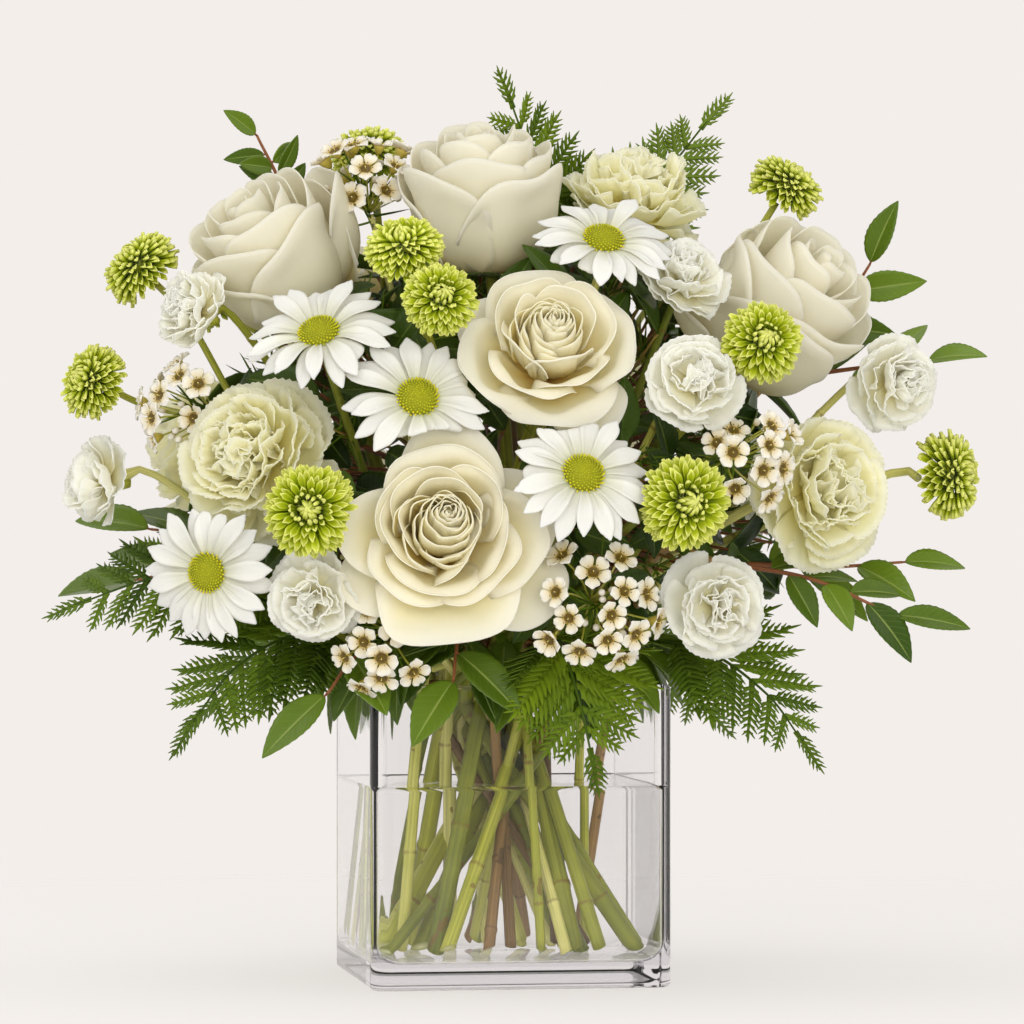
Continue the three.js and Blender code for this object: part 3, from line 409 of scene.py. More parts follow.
class Shader:
    """The nodes of a material or a world, and short ways to add to them."""

    def __init__(self, owner):
        self.owner = owner
        owner.use_nodes = True
        self.tree = owner.node_tree
        self.tree.nodes.clear()

    def node(self, kind, inputs=None, **settings):
        made = self.tree.nodes.new("ShaderNode" + kind)
        for key, value in settings.items():
            setattr(made, key, value)
        for key, value in (inputs or {}).items():
            if isinstance(value, bpy.types.NodeSocket):
                self.tree.links.new(value, made.inputs[key])
            else:
                made.inputs[key].default_value = value
        return made

    def maths(self, operation, first, second=0.0, third=0.0):
        return self.node("Math", {0: first, 1: second, 2: third}, operation=operation).outputs[0]

    def around(self, value, middle, reach):
        """Takes a value of 0 to 1 to a middle less or plus a reach."""
        return self.maths("MULTIPLY_ADD", value, 2 * reach, middle - reach)

    def ranged(self, value, start, end, low=0.0, high=1.0):
        """Takes a value between a start and an end to a low and a high."""
        return self.node("MapRange", {0: value, 1: start, 2: end, 3: low, 4: high}).outputs[0]

    def ramp(self, factor, stops):
        made = self.node("ValToRGB", {0: factor})
        elements = made.color_ramp.elements
        while len(elements) < len(stops):
            elements.new(1.0)
        for element, (place, colour) in zip(elements, stops):
            element.position = place
            element.color = (*colour, 1.0)
        return made.outputs[0]

    def blend(self, factor, first, second):
        return self.node("Mix", {0: factor, 6: first, 7: second}, data_type="RGBA").outputs[2]

    def brightened(self, value, colour):
        return self.node("HueSaturation", {"Value": value, "Color": colour}).outputs[0]

    def span(self):
        """How far across and along its blade a point is, and the blade's shade."""
        place = self.node("Attribute", attribute_name="span").outputs["Vector"]
        return self.node("SeparateXYZ", {0: place}).outputs

    def side(self):
        return self.node("Attribute", attribute_name="side").outputs["Fac"]

    def noise(self, scale, stretch=None, detail=3.0):
        """Noise over the piece in its own place, or stretched over the span of each blade."""
        if stretch is None:
            where = self.node("TexCoord").outputs["Object"]
        else:
            place = self.node("Attribute", attribute_name="span").outputs["Vector"]
            where = self.node("VectorMath", {0: place, 1: stretch}, operation="MULTIPLY").outputs[0]
        look = {"Vector": where, "Scale": scale, "Detail": detail, "Roughness": NOISE_ROUGHNESS}
        return self.node("TexNoise", look).outputs["Fac"]

    def relief(self, height, strength, distance):
        return self.node("Bump", {"Height": height, "Strength": strength, "Distance": distance}).outputs[0]

    def body(self, colour, rough, relief, **more):
        inputs = {"Base Color": colour, "Roughness": rough, "Normal": relief}
        return self.node("BsdfPrincipled", {**inputs, **more}).outputs[0]

    def mixed(self, share, first, second):
        return self.node("MixShader", {0: share, 1: first, 2: second}).outputs[0]

    def lit_from_behind(self, through, body, colour, glow):
        """Lets a share of the light through a thin body, half in its own colour and half in the glow's."""
        behind = self.node("BsdfTranslucent", {"Color": self.blend(0.5, colour, glow)}).outputs[0]
        return self.finish(self.mixed(through, body, behind))

    def finish(self, shader, output="OutputMaterial"):
        self.tree.links.new(shader, self.node(output).inputs["Surface"])
        return self.owner


def new_shader(name):
    return Shader(bpy.data.materials.new(name))


NOISE_ROUGHNESS = 0.55
# The depth of each kind of relief, in metres.
RELIEF = {"petal": 0.0004, "leaf": 0.0005, "grain": 0.0004, "stem": 0.0008, "clear": 0.0005}
# A leaf's side veins: how closely they follow each other, how far forward they run, how narrow and how pale
# they are. Then how narrow and how pale its midrib is.
VEIN = {"pace": 62.0, "forward": 0.22, "crest": 0.72, "soften": 0.1, "height": 1.6, "pale": 0.18}
MIDRIB = {"narrow": 11.0, "pale": 0.85}
LEAF_GLOW = (0.36, 0.5, 0.02, 1)
# A stem's scars: the noise above which a spot shows and how strongly, how ragged the marks at its joints
# are, and between which sums of noise and side they come in, from none to how strong.
SCARS = {"spots": 0.66, "spot": 0.7, "ragged": 1.2, "joints": (2.25, 2.75, 0.0, 0.85)}


def petal_material(name, stops, glow, through=0.4, rough=0.5, veins=26.0, mottle=0.05, bump=0.25,
                   spread=0.03, outside=None):
    """A soft thin petal: coloured from root to tip by its stops, faintly veined along its length, and lit
    from behind with the colour of its glow. Its outside may have stops of its own."""
    s = new_shader(name)
    _, along, shade = s.span()
    place = s.maths("ADD", along, s.around(s.noise(90.0), 0.0, 0.08))
    colour = s.ramp(place, stops)
    if outside:
        colour = s.blend(s.side(), colour, s.ramp(place, outside))
    vein = s.noise(1.0, (veins, 2.2, 37.0))
    value = s.maths("MULTIPLY", s.around(vein, 1.0, mottle), s.around(shade, 1.0, spread))
    tinted = s.brightened(value, colour)
    relief = s.relief(s.maths("MULTIPLY_ADD", s.noise(700.0), 0.25, vein), bump, RELIEF["petal"])
    body = s.body(tinted, rough, relief, **{"Specular IOR Level": 0.25, "Sheen Weight": 0.08})
    return s.lit_from_behind(through, body, tinted, glow)


def leaf_material(name, dark, light, back, midrib, rough, through, gloss):
    """A leaf: darker above than below, with a pale midrib and side veins that run forward from it."""
    s = new_shader(name)
    across, along, shade = s.span()
    age = s.maths("MULTIPLY_ADD", shade, 0.75, s.maths("MULTIPLY", s.noise(60.0), 0.25))
    tone = s.ramp(age, [(0.15, dark), (0.85, light)])
    away = s.maths("ABSOLUTE", across)
    run = s.maths("SUBTRACT", along, s.maths("MULTIPLY", away, VEIN["forward"]))
    wave = s.maths("SINE", s.maths("MULTIPLY", run, VEIN["pace"]))
    crest = s.maths("SMOOTH_MAX", s.maths("SUBTRACT", wave, VEIN["crest"]), 0.0, VEIN["soften"])
    vein = s.maths("MULTIPLY", crest, VEIN["height"])
    off_rib = s.maths("MINIMUM", s.maths("MULTIPLY", away, MIDRIB["narrow"]), 1.0)
    rib = s.maths("SUBTRACT", 1.0, off_rib)
    pale_vein = s.maths("MULTIPLY", vein, VEIN["pale"])
    pale_rib = s.maths("MULTIPLY", rib, MIDRIB["pale"])
    pale = s.maths("MINIMUM", s.maths("ADD", pale_vein, pale_rib), 1.0)
    above = s.blend(pale, tone, midrib)
    under = s.blend(s.maths("MULTIPLY", pale, 0.5), back, midrib)
    colour = s.blend(s.side(), under, above)
    height = s.maths("SUBTRACT", s.maths("MULTIPLY", s.noise(260.0), 0.35), s.maths("ADD", rib, vein))
    relief = s.relief(height, 0.35, RELIEF["leaf"])
    body = s.body(colour, rough, relief, **{"Specular IOR Level": gloss})
    return s.lit_from_behind(through, body, colour, LEAF_GLOW)


def grain_material(name, dark, light, speck, scale=900.0, rough=0.8):
    """A grainy surface of tiny florets or pollen, with painted shade in its hollows; each bead has its own
    shade.
    """
    s = new_shader(name)
    _, along, shade = s.span()
    place = s.maths("MULTIPLY_ADD", shade, 0.8, s.maths("MULTIPLY", along, 0.2))
    tone = s.ramp(place, [(0.0, dark), (0.6, light), (1.0, speck)])
    grain = s.noise(scale)
    relief = s.relief(grain, 0.4, RELIEF["grain"])
    # The noise that raises the grain also lightens it, so its hollows are painted darker: partly the
    # grain's own tone and partly painted shade.
    return s.finish(s.body(s.brightened(s.around(grain, 1.0, 0.25), tone), rough, relief))


def stem_material(name, pale, fresh, deep, scar, cut):
    """A fresh stem: fine ridges along it, painted lighter on their crests and darker between them, partly
    as streaks of its own colour and partly as painted highlight and shade; patches of deeper green, brown
    scars, more of them round its joints, and a pale cut end."""
    s = new_shader(name)
    shade = s.span()[2]
    ridges = s.noise(1.0, (9.0, 3.0, 41.0), detail=4.0)
    age = s.maths("MULTIPLY_ADD", shade, 0.75, s.maths("MULTIPLY", s.noise(38.0), 0.35))
    tone = s.ramp(age, [(0.12, pale), (0.45, fresh), (0.95, deep)])
    # The ridges' noise lights the colour on their crests and darkens it between them: partly streaks of
    # colour and partly painted highlight and shade.
    ridge_streaks_and_highlights = s.brightened(s.around(ridges, 1.03, 0.75), tone)
    spots = s.maths("MULTIPLY", s.maths("GREATER_THAN", s.noise(75.0), SCARS["spots"]), SCARS["spot"])
    joints = s.ranged(s.maths("MULTIPLY_ADD", s.noise(220.0), SCARS["ragged"], s.side()), *SCARS["joints"])
    marked = s.blend(s.maths("MAXIMUM", spots, joints), ridge_streaks_and_highlights, scar)
    relief = s.relief(ridges, 0.5, RELIEF["stem"])
    return s.finish(s.body(s.blend(s.side(), cut, marked), 0.45, relief))


def clear_material(name, tint, ior, wave_scale, wave, deep=None, density=0.0):
    """Clear glass or water with a faint unevenness, which lets lamp light through to what stands behind it.
    It takes on the deep colour with the way that light goes through it."""
    s = new_shader(name)
    relief = s.relief(s.noise(wave_scale), wave, RELIEF["clear"])
    glass = s.body(tint, 0.0, relief, **{"IOR": ior, "Transmission Weight": 1.0})
    clear = s.node("BsdfTransparent", {"Color": tint}).outputs[0]
    path = s.node("LightPath").outputs
    lamp = s.maths("MAXIMUM", path["Is Shadow Ray"], path["Is Diffuse Ray"])
    s.finish(s.mixed(lamp, glass, clear))
    if deep:
        soak = s.node("VolumeAbsorption", {"Color": deep, "Density": density})
        s.tree.links.new(soak.outputs[0], s.tree.nodes["Material Output"].inputs["Volume"])
    return s.owner


# Rose petal colours from root to tip, on the inner and the outer face. The gold towards the root of the
# inner face is partly the petals' own colour and partly painted warm shade for the deep middle of the
# bloom.
ROSE_INSIDE = [(0.0, (0.95, 0.56, 0.08)), (0.22, (0.975, 0.80, 0.30)), (0.4, (0.99, 0.915, 0.58)),
               (0.6, (0.99, 0.95, 0.76)), (0.82, (0.985, 0.96, 0.85)), (1.0, (0.98, 0.96, 0.89))]
ROSE_OUTSIDE = [(0.0, (0.78, 0.68, 0.32)), (0.2, (0.93, 0.85, 0.52)), (0.45, (0.975, 0.94, 0.74)),
                (0.85, (0.975, 0.95, 0.84)), (1.0, (0.97, 0.95, 0.88))]
# The gold towards the root of carnation and mini carnation petals is partly their own colour and partly
# painted warm shade in the folds of the bloom.
CARNATION_STOPS = [(0.0, (0.96, 0.72, 0.12)), (0.35, (0.985, 0.91, 0.42)), (0.62, (0.995, 0.965, 0.70)),
                   (0.86, (0.995, 0.975, 0.82)), (1.0, (0.99, 0.975, 0.90))]
MINI_STOPS = [(0.0, (0.96, 0.86, 0.44)), (0.35, (0.985, 0.945, 0.68)), (0.7, (0.995, 0.985, 0.92)),
              (1.0, (0.99, 0.985, 0.955))]
DAISY_STOPS = [(0.0, (0.56, 0.60, 0.26)), (0.14, (0.78, 0.77, 0.60)), (0.4, (0.87, 0.86, 0.79)),
               (1.0, (0.90, 0.89, 0.85))]
# Pom florets darken towards the root: partly their own green and partly painted shade in the gaps between
# the florets.
POM_STOPS = [(0.0, (0.09, 0.13, 0.002)), (0.4, (0.28, 0.37, 0.005)), (0.72, (0.56, 0.63, 0.012)),
             (0.95, (0.94, 0.94, 0.26))]
WAX_STOPS = [(0.0, (0.62, 0.42, 0.12)), (0.22, (0.84, 0.73, 0.46)), (0.6, (0.93, 0.88, 0.74)),
             (1.0, (0.96, 0.94, 0.87))]


def rose_material(name, tone):
    """A rose's petals, in a tone of 1 or darker. The darker tone is painted shade: a dimmed copy for the
    fresh roses, which the lamps light more brightly.
    """
    inside, outside = ([(place, tuple(tone * c for c in colour)) for place, colour in stops]
                       for stops in (ROSE_INSIDE, ROSE_OUTSIDE))
    glow = (tone, 0.95 * tone, 0.74 * tone, 1)
    return petal_material(name, inside, glow, through=0.5, mottle=0.02, outside=outside)


LOOKS = {
    "blown_rose": rose_material("blown_rose_petal", 1.0),
    # The fresh roses take a darker copy of the rose colours: painted shade that holds back the stronger
    # lamp light on them.
    "fresh_rose": rose_material("fresh_rose_petal_painted_shade", 0.955),
    "carnation": petal_material("carnation_petal", CARNATION_STOPS, (1.0, 0.98, 0.66, 1), through=0.62,
                                rough=0.6, mottle=0.015),
    "mini": petal_material("mini_petal", MINI_STOPS, (1.0, 0.985, 0.84, 1), through=0.56, rough=0.6,
                           mottle=0.015),
    "daisy": petal_material("daisy_ray", DAISY_STOPS, (1.0, 0.94, 0.78, 1), through=0.25, veins=9.0,
                            mottle=0.06, bump=0.5),
    "disc": grain_material("daisy_disc", (0.20, 0.22, 0.003), (0.55, 0.53, 0.008), (0.90, 0.72, 0.02)),
    "pom": petal_material("pom_floret", POM_STOPS, (0.7, 0.8, 0.03, 1), through=0.3, rough=0.45, veins=5.0,
                          mottle=0.1, spread=0.14),
    "wax": petal_material("waxflower_petal", WAX_STOPS, (1.0, 0.86, 0.6, 1), through=0.26, rough=0.35,
                          veins=4.0, mottle=0.08),
    "wax_heart": grain_material("waxflower_heart", (0.07, 0.03, 0.003), (0.36, 0.27, 0.012),
                                (0.92, 0.76, 0.2), 1500.0, 0.4),
    "fern": leaf_material("fern_pinnule", (0.035, 0.075, 0.003), (0.17, 0.27, 0.012), (0.16, 0.25, 0.03, 1),
                          (0.2, 0.3, 0.03, 1), rough=0.45, through=0.25, gloss=0.3),
    "young_fern": leaf_material("young_pinnule", (0.05, 0.10, 0.003), (0.24, 0.35, 0.012),
                                (0.2, 0.3, 0.03, 1), (0.28, 0.4, 0.03, 1), rough=0.45, through=0.28,
                                gloss=0.3),
    "leaf": leaf_material("glossy_leaf", (0.04, 0.085, 0.004), (0.17, 0.27, 0.014), (0.17, 0.25, 0.05, 1),
                          (0.34, 0.42, 0.10, 1), rough=0.3, through=0.2, gloss=0.45),
    # A darker copy of the glossy leaf for the leaves deep between the heads: painted shade.
    "leaf_in_painted_shade": leaf_material("painted_shade_leaf_material", (0.016, 0.04, 0.003), (0.07, 0.13, 0.008),
                               (0.09, 0.15, 0.02, 1), (0.2, 0.28, 0.05, 1), rough=0.35, through=0.2,
                               gloss=0.4),
    "twig": grain_material("red_twig", (0.13, 0.035, 0.012), (0.26, 0.09, 0.03), (0.30, 0.24, 0.04), 500.0,
                           0.5),
    "stem": stem_material("green_stem", (0.74, 0.68, 0.24), (0.42, 0.42, 0.04), (0.08, 0.11, 0.006),
                          (0.20, 0.10, 0.015, 1), (0.72, 0.70, 0.36, 1)),
    "wood": stem_material("woody_stem", (0.46, 0.27, 0.09), (0.26, 0.15, 0.05), (0.12, 0.07, 0.02),
                          (0.07, 0.04, 0.012, 1), (0.6, 0.45, 0.22, 1)),
    "glass": clear_material("clear_glass", (0.985, 0.982, 0.988, 1), 1.5, 14.0, 0.05, (0.50, 0.46, 0.56, 1),
                            2.6),
    "water": clear_material("clear_water", (0.985, 0.99, 0.985, 1), 1.333, 22.0, 0.03),
}


# ------------------------------------------------------------------ how heads stand and make room

# By kind, and for a rose by how far it is open: how deep the ball of a head is, and how far its middle
# stands over its base, as shares of its width.
BALLS = {
    "rose": lambda opened: (mix(0.36, 0.27, opened), mix(0.35, 0.25, opened)),
    "carnation": lambda opened: (0.3, 0.25),
    "mini": lambda opened: (0.3, 0.25),
    "daisy": lambda opened: (0.09, 0.02),
    "pom": lambda opened: (0.42, 0.32),
}
# How points are drawn clear of other heads: in so many steps at most, each to this share of the way from
# the heart, and then smoothed over the grid so many times.
DRAWN = {"steps": 40, "share": 0.96, "blurs": 3}
standing = []


def fills(ball, points, margin):
    centre, facing, radius, depth = ball
    offset = points - centre
    along = offset @ facing
    across = np.sqrt(np.maximum((offset ** 2).sum(-1) - along ** 2, 0))
    return (along / (depth + margin)) ** 2 + (across / (radius + margin)) ** 2 < 1


def any_fills(balls, point, margin):
    return any(fills(ball, point, margin) for ball in balls)


def heads_near(points, reach):
    """The balls of the heads that stand already within a reach of any of the points."""
    points = np.atleast_2d(points)
    return [ball for ball in standing if np.linalg.norm(ball[0] - points, axis=1).min() < ball[2] + reach]


def bent_clear(points, heart, balls, margin=KEEP_OFF):
    """Draws points towards the heart of their own head until they are clear of the other balls."""
    keep = np.ones(points.shape[:-1])
    for _ in range(DRAWN["steps"]):
        at = heart + (points - heart) * keep[..., None]
        inside = np.zeros(keep.shape, bool)
        for ball in balls:
            inside |= fills(ball, at, margin)
        if not inside.any():
            break
        keep[inside] *= DRAWN["share"]
    if keep.ndim == 2 and (keep < 1).any():
        rows, cols = keep.shape
        for _ in range(DRAWN["blurs"]):
            padded = np.pad(keep, 1, mode="edge")
            blurred = sum(padded[i:i + rows, j:j + cols] for i in range(3) for j in range(3)) / 9
            keep = np.minimum(keep, blurred)
    return heart + (points - heart) * keep[..., None]


class Stance:
    """Stands a head's own frame, +Z along its facing, on its base."""

    def __init__(self, kind, at, turn, rise, width, spin=0.0, opened=1.0):
        depth, middle = BALLS[kind](opened)
        self.width = width
        self.middle = middle * width
        self.facing = towards(turn, rise)
        centre = np.array(at, float)
        self.base = centre - self.facing * middle * width
        self.aim = turned(self.facing, spin)
        self.heart = self.base + self.facing * min(0.08, middle) * width
        self.ball = (centre, self.facing, width / 2, depth * width)
        self.others = heads_near(centre, width / 2 + NEARBY)

    def fixed(self, points):
        return np.asarray(points) @ self.aim.T + self.base

    def place(self, points):
        return bent_clear(self.fixed(points), self.heart, self.others)


def seeded(name):
    return np.random.default_rng(sum((k + 1) * ord(c) for k, c in enumerate(name)))


# ------------------------------------------------------------------ roses

# The petals of the two blown roses that face the front, outermost first: the turn of the petal's middle,
# half its spread, how far out its rim runs from one end to the other, its height (all as shares of the
# width; angles as seen from the front, from the right anticlockwise) and how wide its lip rolls.
FRONT_RIMS = [
    (5, 42, (0.44, 0.53, 0.58, 0.56, 0.48), 0.08, 0.012),
    (-38, 33, (0.48, 0.60, 0.66, 0.63, 0.48), 0.03, 0.016),
    (204, 33, (0.42, 0.50, 0.54, 0.50, 0.42), 0.06, 0.016),
    (72, 44, (0.43, 0.51, 0.56, 0.53, 0.43), 0.20, 0.03),
    (167, 42, (0.38, 0.45, 0.52, 0.46, 0.38), 0.21, 0.03),
    (268, 62, (0.42, 0.54, 0.515, 0.55, 0.46), 0.19, 0.03),
    (-12, 46, (0.42, 0.47, 0.52, 0.47, 0.42), 0.24, 0.035),
    (222, 50, (0.37, 0.385, 0.36, 0.365, 0.34), 0.29, 0.04),
    (312, 54, (0.33, 0.36, 0.365, 0.39, 0.37), 0.30, 0.04),
    (78, 72, (0.33, 0.40, 0.437, 0.42, 0.33), 0.32, 0.05),
    (252, 62, (0.31, 0.30, 0.29, 0.30, 0.32), 0.34, 0.045),
    (347, 52, (0.31, 0.31, 0.32, 0.335, 0.34), 0.345, 0.04),
    (132, 48, (0.34, 0.35, 0.345, 0.33, 0.30), 0.355, 0.035),
    (190, 66, (0.34, 0.30, 0.24, 0.21, 0.215), 0.37, 0.035),
    (38, 52, (0.27, 0.33, 0.355, 0.345, 0.30), 0.36, 0.035),
    (105, 62, (0.29, 0.315, 0.305, 0.29, 0.24), 0.39, 0.035),
    (322, 68, (0.285, 0.205, 0.17, 0.19, 0.26), 0.42, 0.04),
    (60, 62, (0.18, 0.24, 0.265, 0.26, 0.23), 0.42, 0.025),
    (165, 48, (0.24, 0.22, 0.19, 0.17, 0.165), 0.43, 0.025),
]
CENTRE_RIMS = [
    (20, 40, (0.44, 0.50, 0.54, 0.52, 0.46), 0.12, 0.03),
    (140, 34, (0.44, 0.52, 0.56, 0.52, 0.44), 0.14, 0.03),
    (310, 38, (0.42, 0.50, 0.54, 0.50, 0.44), 0.08, 0.03),
    (188, 56, (0.40, 0.47, 0.50, 0.50, 0.46), 0.32, 0.06),
    (98, 54, (0.42, 0.48, 0.49, 0.47, 0.40), 0.34, 0.05),
    (10, 56, (0.42, 0.47, 0.50, 0.48, 0.41), 0.34, 0.06),
    (276, 64, (0.42, 0.47, 0.48, 0.49, 0.46), 0.26, 0.07),
    (235, 60, (0.36, 0.37, 0.38, 0.36, 0.34), 0.38, 0.055),
    (30, 60, (0.30, 0.36, 0.39, 0.38, 0.35), 0.42, 0.04),
    (300, 56, (0.30, 0.32, 0.33, 0.35, 0.36), 0.40, 0.05),
    (118, 62, (0.34, 0.36, 0.36, 0.33, 0.29), 0.43, 0.035),
    (205, 58, (0.30, 0.27, 0.22, 0.21, 0.24), 0.46, 0.04),
    (285, 60, (0.24, 0.20, 0.20, 0.23, 0.28), 0.47, 0.035),
    (50, 62, (0.22, 0.27, 0.29, 0.28, 0.26), 0.47, 0.025),
    (150, 56, (0.26, 0.24, 0.22, 0.19, 0.17), 0.48, 0.025),
]
ROSE_RIMS = {"rose_front": (FRONT_RIMS, (0.055, 0.09)), "rose_centre": (CENTRE_RIMS, (0.02, 0.05))}
# Of other roses, from the outermost petal (0) to the innermost (1): how far out and up the rim runs.
RIM_KEYS = [0.0, 0.25, 0.5, 0.75, 1.0]
RIM_OUT = {"blown": [0.50, 0.42, 0.32, 0.2, 0.07], "fresh": [0.51, 0.45, 0.34, 0.21, 0.06]}
RIM_UP = {"blown": [0.20, 0.31, 0.38, 0.43, 0.44], "fresh": [0.50, 0.60, 0.67, 0.71, 0.72]}
# How far the shoulders fall, from the outermost petal to the innermost.
RIM_FALL = {"blown": (0.1, 0.06), "fresh": (0.2, 0.07)}
# Petals added to a rose where the photograph shows one that stands away from the rest.
LOOSE_PETALS = {
    "rose_left": [(-22, 40, (0.44, 0.58, 0.62, 0.60, 0.50), 0.50, 0.05)],
    "rose_right": [(-52, 40, (0.44, 0.58, 0.64, 0.60, 0.46), 0.10, 0.05)],
}
ROSE_PETALS = {"front": 19, "rear": 15}
ROSE_GRID = {"front": (18, 25), "rear": (12, 15)}
ROSE_THICKNESS = 0.4
# A petal's shape: how much its rim strays, the height and pace of its ripples, how much its ends tuck in
# and fall, how far a narrow and a wide lip turn over, how wide is wide, and how far along the turn starts.
PETAL = {"stray": 0.02, "ripples": ((0.007, 4.1), (0.004, 9.0)), "tuck": 0.1, "fall": 0.3,
         "bend": (75, 135), "wide_lip": 0.06, "bend_from": 0.74}
# By whether the bloom is still a goblet: how far out and up a petal's root is, and how much is added to the
# height that its ends fall by.
PETAL_ROOTS = {True: (0.09, -0.19, 0.19), False: (0.045, 0.015, 0.05)}
HEART = {"arms": 34, "reach": 0.22, "middle": (-0.01, 0.01), "bulge": 0.055, "grid": (9, 17),
         "thickness": 0.32, "lip": 0.012}
# The core under a blown rose's heart: its reach, and its height, or how far it is under the heart's top. It
# is coloured as a petal's root: partly the mass of inner petals and partly painted golden shade that fills
# the deep gaps of the heart.
HEART_FOOT = (0.04, 0.1)
HEART_CORE = ((0.05, 0.2), (0.04, 0.09), (0.015, 0.05))
CORE_ANGLES = np.linspace(0, FULL_TURN, 16, endpoint=False)
SEPAL = {"count": 5, "first": 20, "length": 22.0, "half": 4.2, "thickness": 0.5}


def rim_petal(row, width, chance, rows, cols, goblet, hub=(0.0, 0.0), bulge=0.0):
    """The middle surface of a petal that runs from the base of the bloom up to its rim and over its lip."""
    turn, half, radii, height, lip = row
    angles = np.radians(turn + half * np.linspace(-1, 1, 5))
    radii = np.array(radii) * (1 + chance.uniform(-PETAL["stray"], PETAL["stray"], 5))
    rim = curve_through(polar(radii, angles, height), cols)
    u, v = square(cols, rows)
    v = 1 - (1 - v) ** 1.3
    waves = chance.uniform(0, FULL_TURN, 3)
    ripple = sum(size * np.sin(pace * u[0] + wave) for (size, pace), wave in zip(PETAL["ripples"], waves))
    # Either end of the rim falls and tucks in.
    edge = np.abs(u[0]) ** 4.5
    root_out, root_up, under = PETAL_ROOTS[goblet]
    out = np.hypot(rim[:, 0], rim[:, 1]) * (1 - PETAL["tuck"] * edge) + 0.6 * ripple
    up = rim[:, 2] + ripple - PETAL["fall"] * (np.max(height) + under) * edge
    centre = math.radians(turn)
    away = np.unwrap(np.arctan2(rim[:, 1], rim[:, 0]))
    away = away + FULL_TURN * np.round((centre - away[cols // 2]) / FULL_TURN)
    # The lip is rolled outwards, more to either side of the petal's middle.
    bend = np.radians(mix(*PETAL["bend"], smooth(lip / PETAL["wide_lip"])))
    bend = bend * (0.75 + 0.35 * np.sin(3.4 * u[0] + waves[2]) ** 2)
    roll = lip / 1.5
    out = out - roll * (1 - np.cos(bend))
    if goblet:
        belly_out = out * mix(1.04, 1.12, smooth(out / 0.5))
        belly_up = mix(root_up, up, 0.06)
    elif bulge:
        belly_out, belly_up = out + bulge, 0.7 * up
    else:
        upright = smooth(up / 0.4)
        belly_out = out * mix(0.66, 0.99, upright)
        belly_up = mix(root_up, up, mix(0.85, 0.3, upright))
    bent_by = smooth((v - PETAL["bend_from"]) / (1 - PETAL["bend_from"])) * bend
    out_at = bowed(root_out, belly_out, out, v) + roll * (1 - np.cos(bent_by))
    up_at = bowed(root_up, belly_up, up, v) + roll * (np.sin(bent_by) - bent_by)
    spread = 0.5 + 0.5 * smooth(v / 0.6)
    grid = polar(np.maximum(out_at, 0.01), centre + (away - centre) * spread, up_at)
    grid[..., :2] += np.array(hub) * smooth(v)[..., None]
    return grid * width


def rose_rows(opened, count, chance):
    """Petals that wind inwards by the golden angle, each with a shoulder that falls under the next one."""
    kind = "blown" if opened > 0.5 else "fresh"
    ends = np.linspace(-1, 1, 5)
    for k in range(count):
        s = (k / (count - 1)) ** 0.9
        turn = (GOLDEN_ANGLE * k + chance.uniform(-14, 14)) % 360
        out = np.interp(s, RIM_KEYS, RIM_OUT[kind]) * chance.uniform(0.97, 1.03)
        up = np.interp(s, RIM_KEYS, RIM_UP[kind]) + chance.uniform(-0.015, 0.02)
        lean = mix(0.1, 0.22, s) * out * (1 if chance.random() < 0.75 else -1)
        peak = chance.uniform(-0.35, 0.35)
        fall = mix(*RIM_FALL[kind], s)
        radii = out + lean * ends * 0.6
        shoulders = np.abs(ends - peak) ** 1.7 * np.where(ends > peak, 0.45, 1.0)
        heights = up - fall * shoulders * chance.uniform(0.6, 1.1)
        half = np.interp(s, [0, 0.3, 0.7, 1], [72, 66, 66, 95]) * chance.uniform(0.9, 1.1)
        yield turn, half, radii, heights, mix(0.055, 0.015, s) * chance.uniform(0.7, 1.3)


def rose_heart(skin, stance, top, hub, chance):
    """The middle of a blown rose: petals within petals, whose rims sweep round towards its tight centre."""
    width = stance.width
    levels = [HEART_FOOT] + [(reach, top - under) for reach, under in HEART_CORE]
    aside = np.array([*hub, 0]) * width * 0.9
    rings = [polar(reach * width, CORE_ANGLES, height * width) + aside for reach, height in levels]
    # The core takes the golden colour of a petal's root: painted warm shade under the heart.
    skin.rings([stance.place(ring) for ring in rings], [0.5] * 4, 0.3)
    for k in range(HEART["arms"]):
        share = k / (HEART["arms"] - 1)
        reach = mix(HEART["reach"], 0.016, share ** 0.8) * chance.uniform(0.92, 1.08)
        turn = (GOLDEN_ANGLE * k + chance.uniform(-18, 18)) % 360
        start = chance.uniform(0.5, 0.86)
        radii = reach * np.array([start, mix(start, 1, 0.4), mix(start, 1, 0.75), 1.0, 1.06])
        height = top - 0.42 * max(reach - 0.05, 0) + chance.uniform(-0.012, 0.012)
        row = (turn, mix(44, 95, share) * chance.uniform(0.9, 1.15), radii, height, HEART["lip"])
        middle = mix(np.array(HEART["middle"]), np.array(hub), smooth(share * 1.4))
        grid = rim_petal(row, width, chance, *HEART["grid"], False, middle, HEART["bulge"])
        # The arms take the look of a petal's lower part: painted warm shade in the heart.
        skin.blade(stance.place(grid), HEART["thickness"], chance.random(), mix(0.62, 0.7, share))


